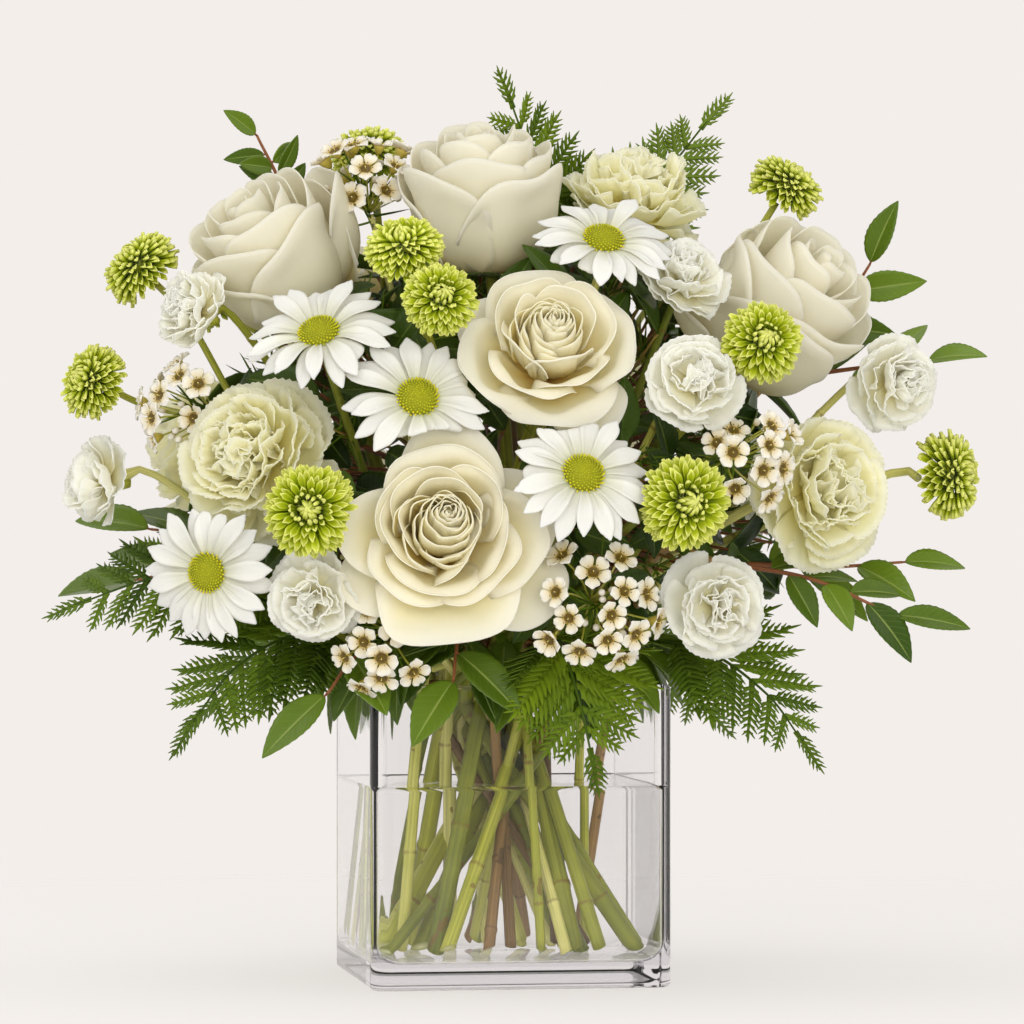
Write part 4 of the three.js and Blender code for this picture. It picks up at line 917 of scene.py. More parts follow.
def rose(name, at, turn, rise, width, spin, opened):
    laid_out = name in ROSE_RIMS
    stance = Stance("rose", at, turn, rise, width, 0 if laid_out else spin, opened)
    chance = seeded(name)
    side = "rear" if "back" in name else "front"
    skin = Skin()
    goblet = opened < 0.5
    if laid_out:
        petals, hub = ROSE_RIMS[name]
    else:
        petals = LOOSE_PETALS.get(name, []) + list(rose_rows(opened, ROSE_PETALS[side], chance))
    for k, row in enumerate(petals):
        share = k / len(petals)
        grid = stance.place(rim_petal(row, width, chance, *ROSE_GRID[side], goblet))
        # Inner petals take more of the colour of a petal's root: painted warm shade deeper in the bloom.
        skin.blade(grid, ROSE_THICKNESS * mix(1.1, 0.8, share), chance.random(), mix(1.0, 0.88, share))
    if laid_out:
        rose_heart(skin, stance, petals[-1][3] + 0.03, hub, chance)
    standing.append(stance.ball)
    # Fresh roses take the dimmed copy of the rose colours, painted shade.
    piece(name + "_petals", skin, LOOKS["fresh_rose" if goblet else "blown_rose"], "rose", name)
    want_stem("rose", stance.base, stance.facing, 0.1 * width)
    sepals(stance)


def sepals(stance):
    """Five green sepals that hug the underside of a rose."""
    u, v = square(5, 8)
    for k in range(SEPAL["count"]):
        out = 2.5 + SEPAL["length"] * v
        drop = 0.5 - 5.5 * np.sin(math.pi * 0.75 * v) + 5 * v ** 2 + 0.9 * u ** 2
        across = SEPAL["half"] * u * np.sin(math.pi * np.clip(0.18 + 0.8 * v, 0, 1))
        way, side, up = axes_at(math.radians(360 / SEPAL["count"] * k + SEPAL["first"]))
        grid = combine((out, way), (across, side), (drop, up))
        greens.blade(stance.place(grid), SEPAL["thickness"], 0.4)


# ------------------------------------------------------------------ carnations, large and small

# How a large and a small carnation are made: their petals in front and at the back, and the crumpled ones
# in the middle; how far the outer petals lean, half the angle of a fan, its teeth, the rows of its grid,
# how much it ruffles, and the neck that its stem widens to.
CARNATION = {
    "carnation": {"petals": 24, "rear_petals": 20, "inner": 20, "lean": (100, 52), "fan": 46, "teeth": 19,
                  "rows": 10, "ruffle": 0.046, "neck": 0.08},
    "mini": {"petals": 17, "rear_petals": 17, "inner": 13, "lean": (98, 50), "fan": 46, "teeth": 12,
             "rows": 9, "ruffle": 0.055, "neck": 0.09},
}
CARNATION_THICKNESS = {"outer": 0.4, "inner": 0.35}
CALYX_RADII = np.array([0.085, 0.085, 0.08, 0.07, 0.05])
CALYX_LENGTH = 0.22


def carnation_petal(s, width, turn, chance, look, inner=False):
    """A broad ruffled fan with a finely toothed lip, in the bloom's own frame."""
    cols = 2 * look["teeth"] + 1
    u, v = square(cols, look["rows"], 0.06)
    lean = math.radians(mix(*look["lean"], s ** 0.8) + chance.uniform(-12, 12))
    reach = width * mix(0.55, 0.43, s) * chance.uniform(0.84, 1.08)
    if inner:
        lean = math.radians(mix(58, 4, s) + chance.uniform(-14, 14))
        reach = width * mix(0.41, 0.37, s) * chance.uniform(0.85, 1.1)
    way = polar(math.sin(lean), turn, math.cos(lean))
    side = axes_at(turn)[1]
    normal = np.cross(side, way)
    twist = math.radians(chance.uniform(-1, 1) * (70 if inner else mix(10, 32, s)))
    side, normal = (side * math.cos(twist) + normal * math.sin(twist),
                    normal * math.cos(twist) - side * math.sin(twist))
    fan = math.radians(look["fan"]) * (0.62 if inner else mix(1.0, 0.85, s))
    teeth = np.where(np.arange(cols) % 2 == 0, -0.013, 0.013) * chance.uniform(0.4, 1.2, cols)
    length = reach * (v * (1 - 0.10 * u ** 4) + teeth[None] * smooth((v - 0.86) / 0.14))
    waves = chance.uniform(0, FULL_TURN, 4)
    ruffle = np.sin(2.7 * u + waves[0]) + 0.5 * np.sin(5.9 * u + waves[1]) * v
    pleats = 0.22 * np.sin(12.5 * u + waves[2]) + 0.12 * np.sin(21 * u + waves[3])
    pleats = pleats * smooth((v - 0.55) / 0.45)
    lift = width * look["ruffle"] * (1.25 if inner else 1.0) * (v ** 1.7 * ruffle + pleats)
    bow = width * (0.05 * v * (1 - v) - (0.02 + 0.11 * chance.random()) * smooth((v - 0.62) / 0.38) * v)
    root = mix(0.02, 0.13, s) * width * UP
    return root + combine((length * np.cos(fan * u), way), (length * np.sin(fan * u), side),
                          (lift + bow, normal))


def carnation(kind, name, at, turn, rise, width, spin):
    stance = Stance(kind, at, turn, rise, width, spin)
    look = CARNATION[kind]
    chance = seeded(name)
    count = look["rear_petals"] if "back" in name else look["petals"]
    skin = Skin()
    for k in range(count):
        angle = math.radians(GOLDEN_ANGLE * k + chance.uniform(-12, 12))
        grid = carnation_petal((k / (count - 1)) ** 1.1, width, angle, chance, look)
        skin.blade(stance.place(grid), CARNATION_THICKNESS["outer"], chance.random())
    # Crumpled inner petals fill the middle.
    for k in range(look["inner"]):
        angle = math.radians(GOLDEN_ANGLE * k + 70)
        grid = carnation_petal((k + 0.5) / look["inner"], width, angle, chance, look, True)
        skin.blade(stance.place(grid), CARNATION_THICKNESS["inner"], chance.random())
    standing.append(stance.ball)
    piece(name + "_petals", skin, LOOKS[kind], kind, name)
    want_stem(kind, stance.base, stance.facing, look["neck"] * width)
    line = stance.base - np.outer(np.linspace(0.3, CALYX_LENGTH * width, 5), stance.facing)
    greens.tube(line, CALYX_RADII * width, 10, 0.35)


# ------------------------------------------------------------------ daisies

DAISY = {"rays": 21, "hub": 0.1, "half": 0.068, "thickness": 0.5, "disc": 0.138, "height": 0.075,
         "florets": 190, "bracts": 5}


def daisy_ray(k, width, chance):
    """A ray with three shallow grooves and a blunt notched tip."""
    u, v = square(9, 14)
    v = 1 - (1 - v) ** 1.4
    angle = FULL_TURN * (k + chance.uniform(-0.16, 0.16)) / DAISY["rays"]
    reach = 0.52 - 0.05 * chance.random()
    half = DAISY["half"] * chance.uniform(0.85, 1.12)
    tip = np.clip((v - 0.68) / 0.326, 0, 1)
    shape = (0.40 + 0.60 * smooth(v / 0.7)) * np.sqrt(np.clip(1 - tip ** 2.2, 0, 1))
    notch = 0.006 * np.abs(u) * (1 - np.abs(u)) * 4 * smooth((v - 0.9) / 0.1)
    out = mix(DAISY["hub"], reach, v) + notch - 0.035 * u ** 2 * v
    tilt = chance.uniform(-0.03, 0.025) + (0.022 if k % 2 else -0.004)
    groove = 0.0065 * np.cos(3 * math.pi * u) * smooth(v / 0.2) * (1 - v)
    cup = chance.uniform(0.01, 0.035) * u ** 2 * np.sin(math.pi * np.clip(v, 0, 0.9))
    droop = -chance.uniform(0.0, 0.09) * v ** 2.2 + 0.03 * np.sin(math.pi * v)
    across = half * u * shape + chance.uniform(-0.02, 0.02) * v ** 2
    way, side, up = axes_at(angle)
    return width * combine((out, way), (across, side), (tilt * v * 2 + groove + cup + droop, up))


def daisy_disc(stance, width, chance):
    """A dome, and florets on it that stand larger towards its edge."""
    disc = Skin()
    radius, height = DAISY["disc"] * width, DAISY["height"] * width
    share = np.linspace(0, 0.985, 7)
    line = stance.fixed(on_axis(0.4 + height * 0.92 * np.sin(share * math.pi / 2)))
    disc.tube(line, radius * 0.97 * np.cos(share * math.pi / 2), 24, 0.1)
    for k in range(DAISY["florets"]):
        away = math.sqrt((k + 0.5) / DAISY["florets"])
        lift = height * math.sqrt(max(1 - away ** 2, 0)) * 0.95
        spot = polar(radius * away, golden(k), 0.3 + lift)
        way = unit(polar(away * 1.5, golden(k), math.sqrt(max(1.02 - away ** 2, 0.02)) + 0.25))
        size = mix(0.34, 0.52, smooth((away - 0.5) / 0.5)) * width / 60
        shade = 0.35 + 0.35 * smooth((away - 0.72) / 0.25) + chance.uniform(-0.15, 0.3)
        disc.bead(stance.fixed(spot), stance.aim @ way, size, 2.4 * size, 5, np.clip(shade, 0, 1), 3)
    return disc


def daisy(name, at, turn, rise, width, spin):
    stance = Stance("daisy", at, turn, rise, width, spin)
    chance = seeded(name)
    rays = Skin()
    for k in range(DAISY["rays"]):
        grid = daisy_ray(k, width, chance)
        rays.blade(stance.place(grid), DAISY["thickness"], chance.random())
    disc = daisy_disc(stance, width, chance)
    standing.append(stance.ball)
    whole = name in WHOLE_DAISIES
    piece(name + "_petals", rays, LOOKS["daisy"], "daisy", name if whole else name + "_rays")
    piece(name + "_dome", disc, LOOKS["disc"], "disc", name if whole else name + "_disc")
    want_stem("daisy", stance.base - stance.facing * 1.2, stance.facing)
    for share in np.arange(DAISY["bracts"]) / (DAISY["bracts"] - 1):
        line = stance.fixed(on_axis(np.array([-1.0, -1.6]) - 0.8 * share))
        greens.tube(line, np.array([0.1, 0.085]) * width * (1 - 0.35 * share), 12, 0.4)


# ------------------------------------------------------------------ button poms

POM = {"florets": 230, "thickness": 0.35, "squash": 0.8, "core": 0.19, "branch": 1.5, "neck": 18.0}
# Half a floret's breadth along it.
FLORET_KEYS = [0, 0.5, 0.72, 0.9, 1.0]
FLORET_HALVES = [0.5, 0.62, 1.0, 0.85, 0.3]


def pom_floret(k, stance, chance):
    """A narrow floret. Old ones lie back and lift their tips; young ones stand and bend over the middle."""
    width = stance.width
    u, v = square(5, 7)
    share = (k + 0.5) / POM["florets"]
    down = math.acos(1 - share ** 1.3 * 1.66) + math.radians(chance.uniform(-3, 3))
    azimuth = math.radians(GOLDEN_ANGLE * k + chance.uniform(-5, 5))
    young = 1 - smooth((down - 0.42) / 0.5)
    reach = 0.5 * width * mix(1.04, 0.86, young) * chance.uniform(0.9, 1.05)
    half = mix(0.041, 0.022, young) * width * chance.uniform(0.85, 1.15)
    lean = mix(0.34, -0.05, young)
    curl = mix(0.1, 0.3, young) * v ** 3 * min(1, down / 0.35)
    distance = reach * (0.45 + 0.55 * v)
    cup = 1.1 * half * u ** 2 * smooth(v / 0.5)
    angle = down + lean * (v - 1) - curl + lean * 0.35 - cup / np.maximum(distance, 1)
    across = half * u * np.interp(v, FLORET_KEYS, FLORET_HALVES)
    lift = stance.middle + distance * np.cos(angle) * POM["squash"]
    way, side, up = axes_at(azimuth)
    return combine((distance * np.sin(angle), way), (across, side), (lift, up))


def pom_head(skin, stance, chance, yellow):
    for k in range(POM["florets"]):
        grid = pom_floret(k, stance, chance)
        shade = np.clip(chance.random() * 0.6 + 0.4 * yellow, 0, 1)
        skin.blade(stance.place(grid), POM["thickness"], shade)
    radius = POM["core"] * stance.width
    core = np.linspace(-1, 1, 7)
    line = stance.place(on_axis(stance.middle + radius * 0.8 * core))
    skin.tube(line, radius * np.sqrt(np.clip(1 - core ** 2, 0.01, 1)), 12, 0.0)


def pom_spray(name, fork, heads):
    skin = Skin()
    chance = seeded(name)
    for at, turn, rise, width in heads:
        stance = Stance("pom", at, turn, rise, width)
        pom_head(skin, stance, chance, 1.0 if at in YELLOW_POMS else 0.2)
        standing.append(stance.ball)
        if fork is None:
            want_stem("pom", stance.base, stance.facing)
        else:
            neck = stance.base - stance.facing * POM["neck"]
            line = curve_through([fork, neck, stance.base + stance.facing * 3], 14)
            greens.tube(line, POM["branch"], 8, 0.5)
    piece(name + "_florets", skin, LOOKS["pom"], "pom", name)
    if fork is not None:
        end = np.array(fork, float)
        want_stem("pom", end, unit(end - (0, 0, KNOT_HEIGHT)))


# ------------------------------------------------------------------ waxflower

CUP_ANGLES = np.linspace(0, FULL_TURN, 12, endpoint=False)
WAX = {"width": 14.8, "petals": 5, "stamens": 10, "buds": 6, "needles": 26, "stalk": 24.0, "cup": 3.4,
       "apart": 9.5, "near": 45}
# Half a petal's breadth along it.
WAX_KEYS = [0, 0.2, 0.45, 0.7, 0.88, 1.0]
WAX_HALVES = [0.35, 0.62, 0.93, 1.0, 0.8, 0.3]
# The hollow cup, up its outside, over its lip and into its dark bowl: share of the size, height, shade.
WAX_CUP = [(0.10, -WAX["cup"], 0.8), (0.22, -2.2, 0.84), (0.34, -0.6, 0.9), (0.40, 0.6, 0.94),
           (0.385, 0.95, 0.85), (0.33, 0.7, 0.35), (0.22, 0.05, 0.1), (0.05, -0.2, 0.2)]


def wax_bloom(petals, hearts, twigs, at, root, chance):
    """Five round cupped petals round a dark heart with a ring of stamens, on a thin stalk."""
    facing = unit(at - root)
    aim = turned(facing, chance.uniform(0, 360))
    size = WAX["width"] / 2 * chance.uniform(0.88, 1.06)
    closed = chance.uniform(0.0, 0.55) ** 2
    u, v = square(7, 6)
    for k in range(WAX["petals"]):
        angle = math.radians(360 / WAX["petals"] * k + chance.uniform(-6, 6))
        out = size * mix(0.3, 1.0, v) * (1 - 0.5 * closed * v) - size * 0.06 * u ** 2 * v
        across = size * 0.41 * u * np.interp(v, WAX_KEYS, WAX_HALVES)
        lift = size * (0.1 + 0.16 * v * u ** 2 + 0.22 * v * (1 - v) + 1.1 * closed * v ** 1.3)
        lift = lift + chance.uniform(-0.25, 0.25) * v
        way, side, up = axes_at(angle)
        grid = combine((out, way), (across, side), (lift, up))
        petals.blade(grid @ aim.T + at, 0.35, chance.random())
    rings = [polar(share * size, CUP_ANGLES, height) @ aim.T + at for share, height, _ in WAX_CUP]
    hearts.rings(rings, [shade for *_, shade in WAX_CUP])
    hearts.tube(on_axis(np.array([0.0, 1.2, 2.1])) @ aim.T + at, [0.24, 0.16, 0.22], 5, 0.98)
    for k in range(WAX["stamens"]):
        spot = polar(0.41 * size, math.radians(360 / WAX["stamens"] * k + 11), 0.9) @ aim.T + at
        hearts.bead(spot, facing, 0.26, 0.9, 5, 0.98 if k % 2 else 0.05, 3)
    sag = (at + root) / 2 + chance.uniform(-1.2, 1.2, 3)
    twigs.tube(curve_through([root, sag, at - facing * WAX["cup"]], 6), 0.42, 5, chance.random() * 0.5)


def needle(skin, root, way, length, chance):
    """A thin needle leaf that curves a little as it runs."""
    bend = chance.uniform(-0.18, 0.18, 3) * length
    share = np.linspace(0, 1, 6)
    line = root + np.outer(share * length, unit(way)) + np.outer(share ** 2, bend)
    skin.tube(line, 0.5 * np.clip(1.1 - share ** 3, 0.15, 1), 4, chance.random())


def waxflower(name, at, turn, rise, spread, flowers):
    chance = seeded(name)
    facing = towards(turn, rise)
    aim = turned(facing)
    centre = np.array(at, float)
    root = centre - facing * WAX["stalk"]
    petals, hearts, twigs, needles = Skin(), Skin(), Skin(), Skin()
    nearby = heads_near(centre, WAX["near"])
    spots = []
    for k in range(flowers):
        reach = spread * math.sqrt((k + 0.1) / flowers) * 1.05
        height = 5 - 0.62 * reach ** 2 / spread + chance.uniform(-2, 5)
        spot = aim @ polar(reach, math.radians(GOLDEN_ANGLE * k + turn), height) + centre
        spot = bent_clear(spot[None], root, nearby, WAX["width"] / 2 - 0.5)[0]
        if all(np.linalg.norm(spot - other) > WAX["apart"] for other in spots):
            spots.append(spot)
            wax_bloom(petals, hearts, twigs, spot, root, chance)
    for _ in range(WAX["buds"]):
        way = unit(facing + 0.8 * chance.normal(size=3) * (1, 1, 0.6))
        tip = bent_clear((root + way * chance.uniform(16, 24))[None], root, nearby, 3.0)[0]
        sag = (root + tip) / 2 + chance.uniform(-1, 1, 3)
        twigs.tube(curve_through([root, sag, tip], 6), 0.35, 5, 0.3)
        petals.bead(tip, way, 1.5, 3.6, 8, chance.random(), 5)
    for _ in range(WAX["needles"]):
        way = unit(facing * 0.8 + chance.normal(size=3) * 0.75)
        start = root + facing * chance.uniform(-6, 12)
        length = chance.uniform(12, 21)
        if not any_fills(nearby, start + way * length, 0.0):
            needle(needles, start, way, length, chance)
    piece(name + "_petals", petals, LOOKS["wax"], "waxflower", name)
    piece(name + "_hearts", hearts, LOOKS["wax_heart"], "waxflower")
    piece(name + "_twigs", twigs, LOOKS["stem"], "stem")
    piece(name + "_needles", needles, LOOKS["fern"], "fern")
    want_stem("waxflower", centre - facing * (WAX["stalk"] + 1.0), facing)


# ------------------------------------------------------------------ ferns and leafy shoots

FERN = {"apart": 10.0, "spacing": 3.3, "thickness": 0.35, "line": 40, "bare": (0.7, 100)}
# The length of a pinna's lobes as a share of its own.
LOBES = {"fern_front": 0.26, "ferns_top": 0.25}
OTHER_LOBES = 0.21
YOUNG_FERNS = {"fern_front": 1.2, "ferns_top": 1.2}
# Along a lobe: its half breadth on the inner side, and on the outer side with its tooth.
LOBE_KEYS = np.array([0, 0.25, 0.5, 0.58, 0.8, 1.0])[:, None]
LOBE_INNER = np.array([0.10, 0.10, 0.09, 0.09, 0.06, 0.008])[:, None]
LOBE_OUTER = np.array([0.10, 0.12, 0.21, 0.09, 0.06, 0.008])[:, None]
ACROSS = np.array([-1.0, 0, 1.0])[None]
# How much fronds and leaves turn their upper side to the front, or to the back if they stand behind BEHIND.
FACING_SHARE = 1.1
BEHIND = 30
SHOOT = {"line": 30, "first_leaf": 0.3, "thickness": 0.45}


def spine_frames(line):
    """Along, across and out of the upper side of a line. It looks up, and outwards where the line hangs."""
    along = units(np.gradient(line, axis=0))
    outward = unit(line[-1] * (1, 1, 0))
    face = np.array([0, -1.0 if line[:, 1].mean() < BEHIND else 1.0, 0])
    up = UP + np.maximum(-along[:, 2:], 0) * outward + FACING_SHARE * face
    across = units(np.cross(along, up))
    return along, across, np.cross(across, along)


def square_to(way, normal):
    """The part of a normal that is square to a way."""
    return unit(normal - way * normal.dot(way))


def branching(along, across, end):
    """The way that a pinna or a leaf leaves its rib, forward and to one side."""
    return 0.62 * along + 0.78 * end * across


def lobe(skin, root, way, lead, normal, length, shade):
    """A narrow pointed lobe that bends forward, with a tooth on its outer side."""
    side = np.cross(way, normal)
    outer_end = -1.0 if side.dot(lead) >= 0 else 1.0
    across = np.where(ACROSS * outer_end > 0, LOBE_OUTER, LOBE_INNER) * ACROSS
    along = LOBE_KEYS + 0 * ACROSS
    bend = 0.16 * length * along ** 2
    lift = 0.04 * length * np.abs(ACROSS) * (1 - along)
    grid = root + combine((length * along, way), (length * across, side), (bend, lead), (lift, normal))
    skin.blade(grid, FERN["thickness"], shade)


def pinna(skin, root, way, normal, length, chance, nearby, lobes):
    """A side branch of a frond: lobes on both sides of a thin blade along a rib that curves down."""
    side = np.cross(way, normal)
    tone = chance.uniform(0.1, 0.8)
    count = max(4, round(length / FERN["spacing"]))
    share = np.linspace(0, 1, count + 2)
    bend = chance.uniform(0.08, 0.2)
    rib = root + np.outer(share * length, way) - np.outer(bend * length * share ** 2, normal)
    clear = np.ones(len(rib), bool)
    for ball in nearby:
        clear &= ~fills(ball, rib, 0.5)
    last = len(rib) if clear.all() else int(np.argmin(clear))
    if last < 4:
        return
    half = (1.25 * (1 - 0.8 * share[:last]) + 0.15)[:, None] * ACROSS
    skin.blade(rib[:last, None] + half[..., None] * side, FERN["thickness"], tone)
    for k in range(1, last - 1):
        size = length * lobes * math.sin(math.pi * mix(0.3, 0.92, share[k])) + 1.6
        for end in (-1, 1):
            aim = unit(0.68 * way + 0.72 * end * side + 0.1 * chance.uniform(-1, 1) * normal)
            if not any_fills(nearby, rib[k] + aim * size, 0.3):
                size_here = size * chance.uniform(0.9, 1.1)
                shade = np.clip(tone + chance.uniform(-0.1, 0.2), 0, 1)
                lobe(skin, rib[k], aim, way, normal, size_here, shade)
    lobe(skin, rib[last - 2], way, way, normal, 0.16 * length + 1.5, tone)


def frond(skin, rib, reach, lobes, chance):
    count = FERN["line"]
    line = curve_through(rib, count)
    along, across, normal = spine_frames(line)
    nearby = heads_near(line[::8], reach + 10)
    run = np.linalg.norm(np.diff(line, axis=0), axis=1).sum()
    share, longest = FERN["bare"]
    first = 1 - min(share * run, longest) / run
    pairs = round((1 - first) * run / FERN["apart"])
    for k in range(pairs):
        at = min(int(mix(first, 0.97, k / pairs) * (count - 1)), count - 2)
        length = 1.08 * reach * mix(1.0, 0.25, (k / pairs) ** 1.4) * chance.uniform(0.94, 1.05)
        for end in (-1, 1):
            stray = 0.1 * chance.uniform(-1, 1) * normal[at]
            way = unit(branching(along[at], across[at], end) + stray)
            level = unit(normal[at] + 0.25 * chance.uniform(-1, 1) * along[at])
            pinna(skin, line[at], way, square_to(way, level), length, chance, nearby, lobes)
    pinna(skin, line[-3], along[-1], normal[-1], 0.5 * reach, chance, nearby, lobes)
    skin.tube(line, np.linspace(1.1, 0.4, count), 6, 0.05)


def fern(name, fronds):
    skin = Skin()
    chance = seeded(name)
    for rib, reach in fronds:
        frond(skin, rib, reach * YOUNG_FERNS.get(name, 1.0), LOBES.get(name, OTHER_LOBES), chance)
    piece(name + "_fronds", skin, LOOKS["young_fern" if name in YOUNG_FERNS else "fern"], "fern", name)
    want_foliage_stem("fern", fronds)


def leaf(skin, root, way, normal, length, chance, nearby, rows=22, cols=9):
    """A pointed oval leaf with fine teeth, folded a little along its midrib, its tip curling down."""
    side = np.cross(way, normal)
    u, v = square(cols, rows)
    half = 0.235 * length * chance.uniform(0.9, 1.1)
    outline = np.sin(math.pi * v ** 0.88) ** 0.8 * (1 - 0.14 * v) + 0.045 * (1 - v) ** 6
    toothed = (np.abs(u) > 0.99) * (v > 0.12) * (v < 0.96)
    teeth = 1 + 0.045 * ((np.arange(rows) % 2)[:, None] - 0.5) * toothed
    across = half * u * np.maximum(outline, 0.02) * teeth
    fold = chance.uniform(0.25, 0.5) * np.abs(across)
    curl = -chance.uniform(0.1, 0.24) * length * v ** 2
    twist = chance.uniform(-0.25, 0.25) * v * across
    grid = root + combine((length * v, way), (across, side), (fold + curl + twist, normal))
    skin.blade(bent_clear(grid, root, nearby, 0.6), SHOOT["thickness"], chance.random())


def shoot(name, twigs):
    leaves, wood = Skin(), Skin()
    chance = seeded(name)
    for points, count, length in twigs:
        line = curve_through(points, SHOOT["line"])
        along, across, normal = spine_frames(line)
        nearby = heads_near(line[::6], length + 6)
        for k in range(count):
            last = k == count - 1
            t = 1.0 if last else SHOOT["first_leaf"] + 0.64 * k / (count - 1)
            at = int(t * (SHOOT["line"] - 1))
            way = along[at] if last else unit(branching(along[at], across[at], 1 if k % 2 else -1))
            way = unit(way + 0.2 * chance.normal(size=3))
            size = length * chance.uniform(0.85, 1.15)
            stalk = line[at] + way * 1.8
            wood.tube([line[at], stalk], 0.5, 6, 0.4)
            leaf(leaves, stalk - way * 0.6, way, square_to(way, normal[at]), size, chance, nearby)
        wood.tube(line, np.linspace(1.2, 0.6, SHOOT["line"]), 7, 0.5)
    piece(name + "_leaves", leaves, LOOKS["leaf"], "leaf", name)
    piece(name + "_twigs", wood, LOOKS["twig"], "stem")
    want_foliage_stem("leaf", [(points, 0) for points, *_ in twigs])


# ------------------------------------------------------------------ stems

STEM_RADIUS = {"rose": 3.4, "carnation": 2.7, "mini": 1.9, "daisy": 2.1, "pom": 2.3, "waxflower": 1.8,
               "fern": 1.8, "leaf": 2.2}
# Every so many of a kind, one stem reaches the floor of the vase.
STANDING_KINDS = {"rose": 1, "carnation": 1, "pom": 1, "leaf": 1, "fern": 2, "daisy": 2, "mini": 2,
                  "waxflower": 3}
STEM = {"gap": 0.3, "neck": 26, "ahead": 16, "behind": 14, "rings": 44, "even": 200, "slant": 0.7}
# A joint: where its rings stand and half its length, as shares of the stem, and how much thicker it is.
JOINT = {"rings": (-0.012, -0.006, -0.003, 0.0, 0.003, 0.006, 0.012), "half": 0.0055, "bulge": 0.16}
# How far apart a stem's joints are, at least and at most, and where the first is when they are closest and
# how much further down it moves as they spread: all as shares of the stem.
JOINTS_APART = (0.15, 0.24)
FIRST_JOINT = (0.06, 2.5)
LAST_JOINT = 0.97
greens = Skin()
stems = Skin()
woody = Skin()
stem_ends = []


def want_stem(kind, end, facing, cup=0.0):
    facing = np.array(facing, float)
    stem_ends.append((kind, np.array(end, float) - facing * STEM["gap"], facing, cup))


def want_foliage_stem(kind, lines):
    root = np.array(lines[0][0][0], float)
    way = unit(sum(unit(np.subtract(points[1], points[0])) for points, _ in lines))
    want_stem(kind, root - way * STEM["gap"], way)


def stem_line(end, facing, radius, stands, chance):
    """A stem's points from its head down to the crossing at the rim, and on to its foot if it stands in the
    water: like a spiralled sheaf, each foot is across from its head."""
    heart = np.array([0, 0, KNOT_HEIGHT])
    neck = end - facing * min(STEM["neck"], 0.3 * np.linalg.norm(end - heart))
    azimuth = math.atan2(end[1], end[0])
    reach = chance.uniform(6, 46)
    bind = heart + polar(reach, azimuth + chance.uniform(-2.4, 0.6), chance.uniform(-14, 8))
    above = unit(neck - bind)
    points = [end, neck, bind + above * STEM["ahead"], bind]
    if not stands:
        return points + [bind - above * STEM["behind"]]
    inner = VASE["width"] / 2 - VASE["wall"] - radius - 3
    away = chance.uniform(22, 72)
    across = azimuth + math.pi + chance.uniform(-1.9, 1.5)
    foot = polar(away, across, FOOT_HEIGHT + chance.uniform(0, 5))
    foot[:2] = np.clip(foot[:2], -inner, inner)
    return points + [foot]


def stem_run():
    """Every stem, thicker towards its foot, with joints along it."""
    chance = seeded("stems")
    order = {}
    for kind, end, facing, cup in stem_ends:
        radius = STEM_RADIUS[kind]
        order[kind] = order.get(kind, 0) + 1
        stands = order[kind] % STANDING_KINDS[kind] == 0
        points = stem_line(end, facing, radius, stands, chance)
        apart = chance.uniform(*JOINTS_APART)
        first = FIRST_JOINT[0] + FIRST_JOINT[1] * (apart - JOINTS_APART[0])
        joints = np.arange(first, LAST_JOINT, apart)
        rings = [joints + step for step in JOINT["rings"]]
        share = np.unique(np.concatenate([np.linspace(0, 1, STEM["rings"]), *rings]))
        even = np.linspace(0, 1, STEM["even"])
        line = points_at(share, even, curve_through(points, STEM["even"]))
        near = np.exp(-(np.abs(share[:, None] - joints).min(1) / JOINT["half"]) ** 2)
        radii = radius * mix(0.8, 1.12, share) * (1 + JOINT["bulge"] * near)
        if cup:
            radii[:2] = cup, mix(radius, cup, 0.55)
        skin = woody if kind == "leaf" or (kind == "fern" and stands) else stems
        skin.tube(line[::-1], radii[::-1], 12, chance.random(), STEM["slant"], near[::-1])
    piece("stems_green", stems, LOOKS["stem"], "stem", "stems")
    piece("stems_woody", woody, LOOKS["wood"], "stem")
    piece("calyxes", greens, LOOKS["stem"], "stem")


# ------------------------------------------------------------------ leaves between the heads

RIM = {"leaves": 44, "inner_leaves": 46, "length": (28, 42), "near": 50}
# Leaves and sprigs fill the gaps between the heads: they stand on an egg-shaped shell just inside them.
FILL = {"middle": (0, 0, 205), "reach": (132, 110, 128), "lowest": -0.36, "leaves": 320,
        "leaf_grid": (14, 7), "leaf_near": 45, "tries": 6, "sprigs": 120, "needles": 12, "sprig_near": 30}


def fill_spots(count, chance, share):
    """Places on the shell that no head takes up, with the way out from there."""
    middle, reach = np.array(FILL["middle"]), np.array(FILL["reach"])
    for k in range(count):
        height = mix(FILL["lowest"], 0.97, (k + 0.5) / count)
        way = polar(math.sqrt(1 - height ** 2), golden(k), height)
        spot = middle + way * reach * share * chance.uniform(0.72, 1.03)
        if not any_fills(standing, spot, 1.0):
            yield spot, unit(way / reach)


def rim_leaf(leaves, start, way, azimuth, chance):
    out = polar(1.0, azimuth, 0.6)
    length = chance.uniform(*RIM["length"])
    leaf(leaves, start, way, square_to(way, out), length, chance, heads_near(start, RIM["near"]))


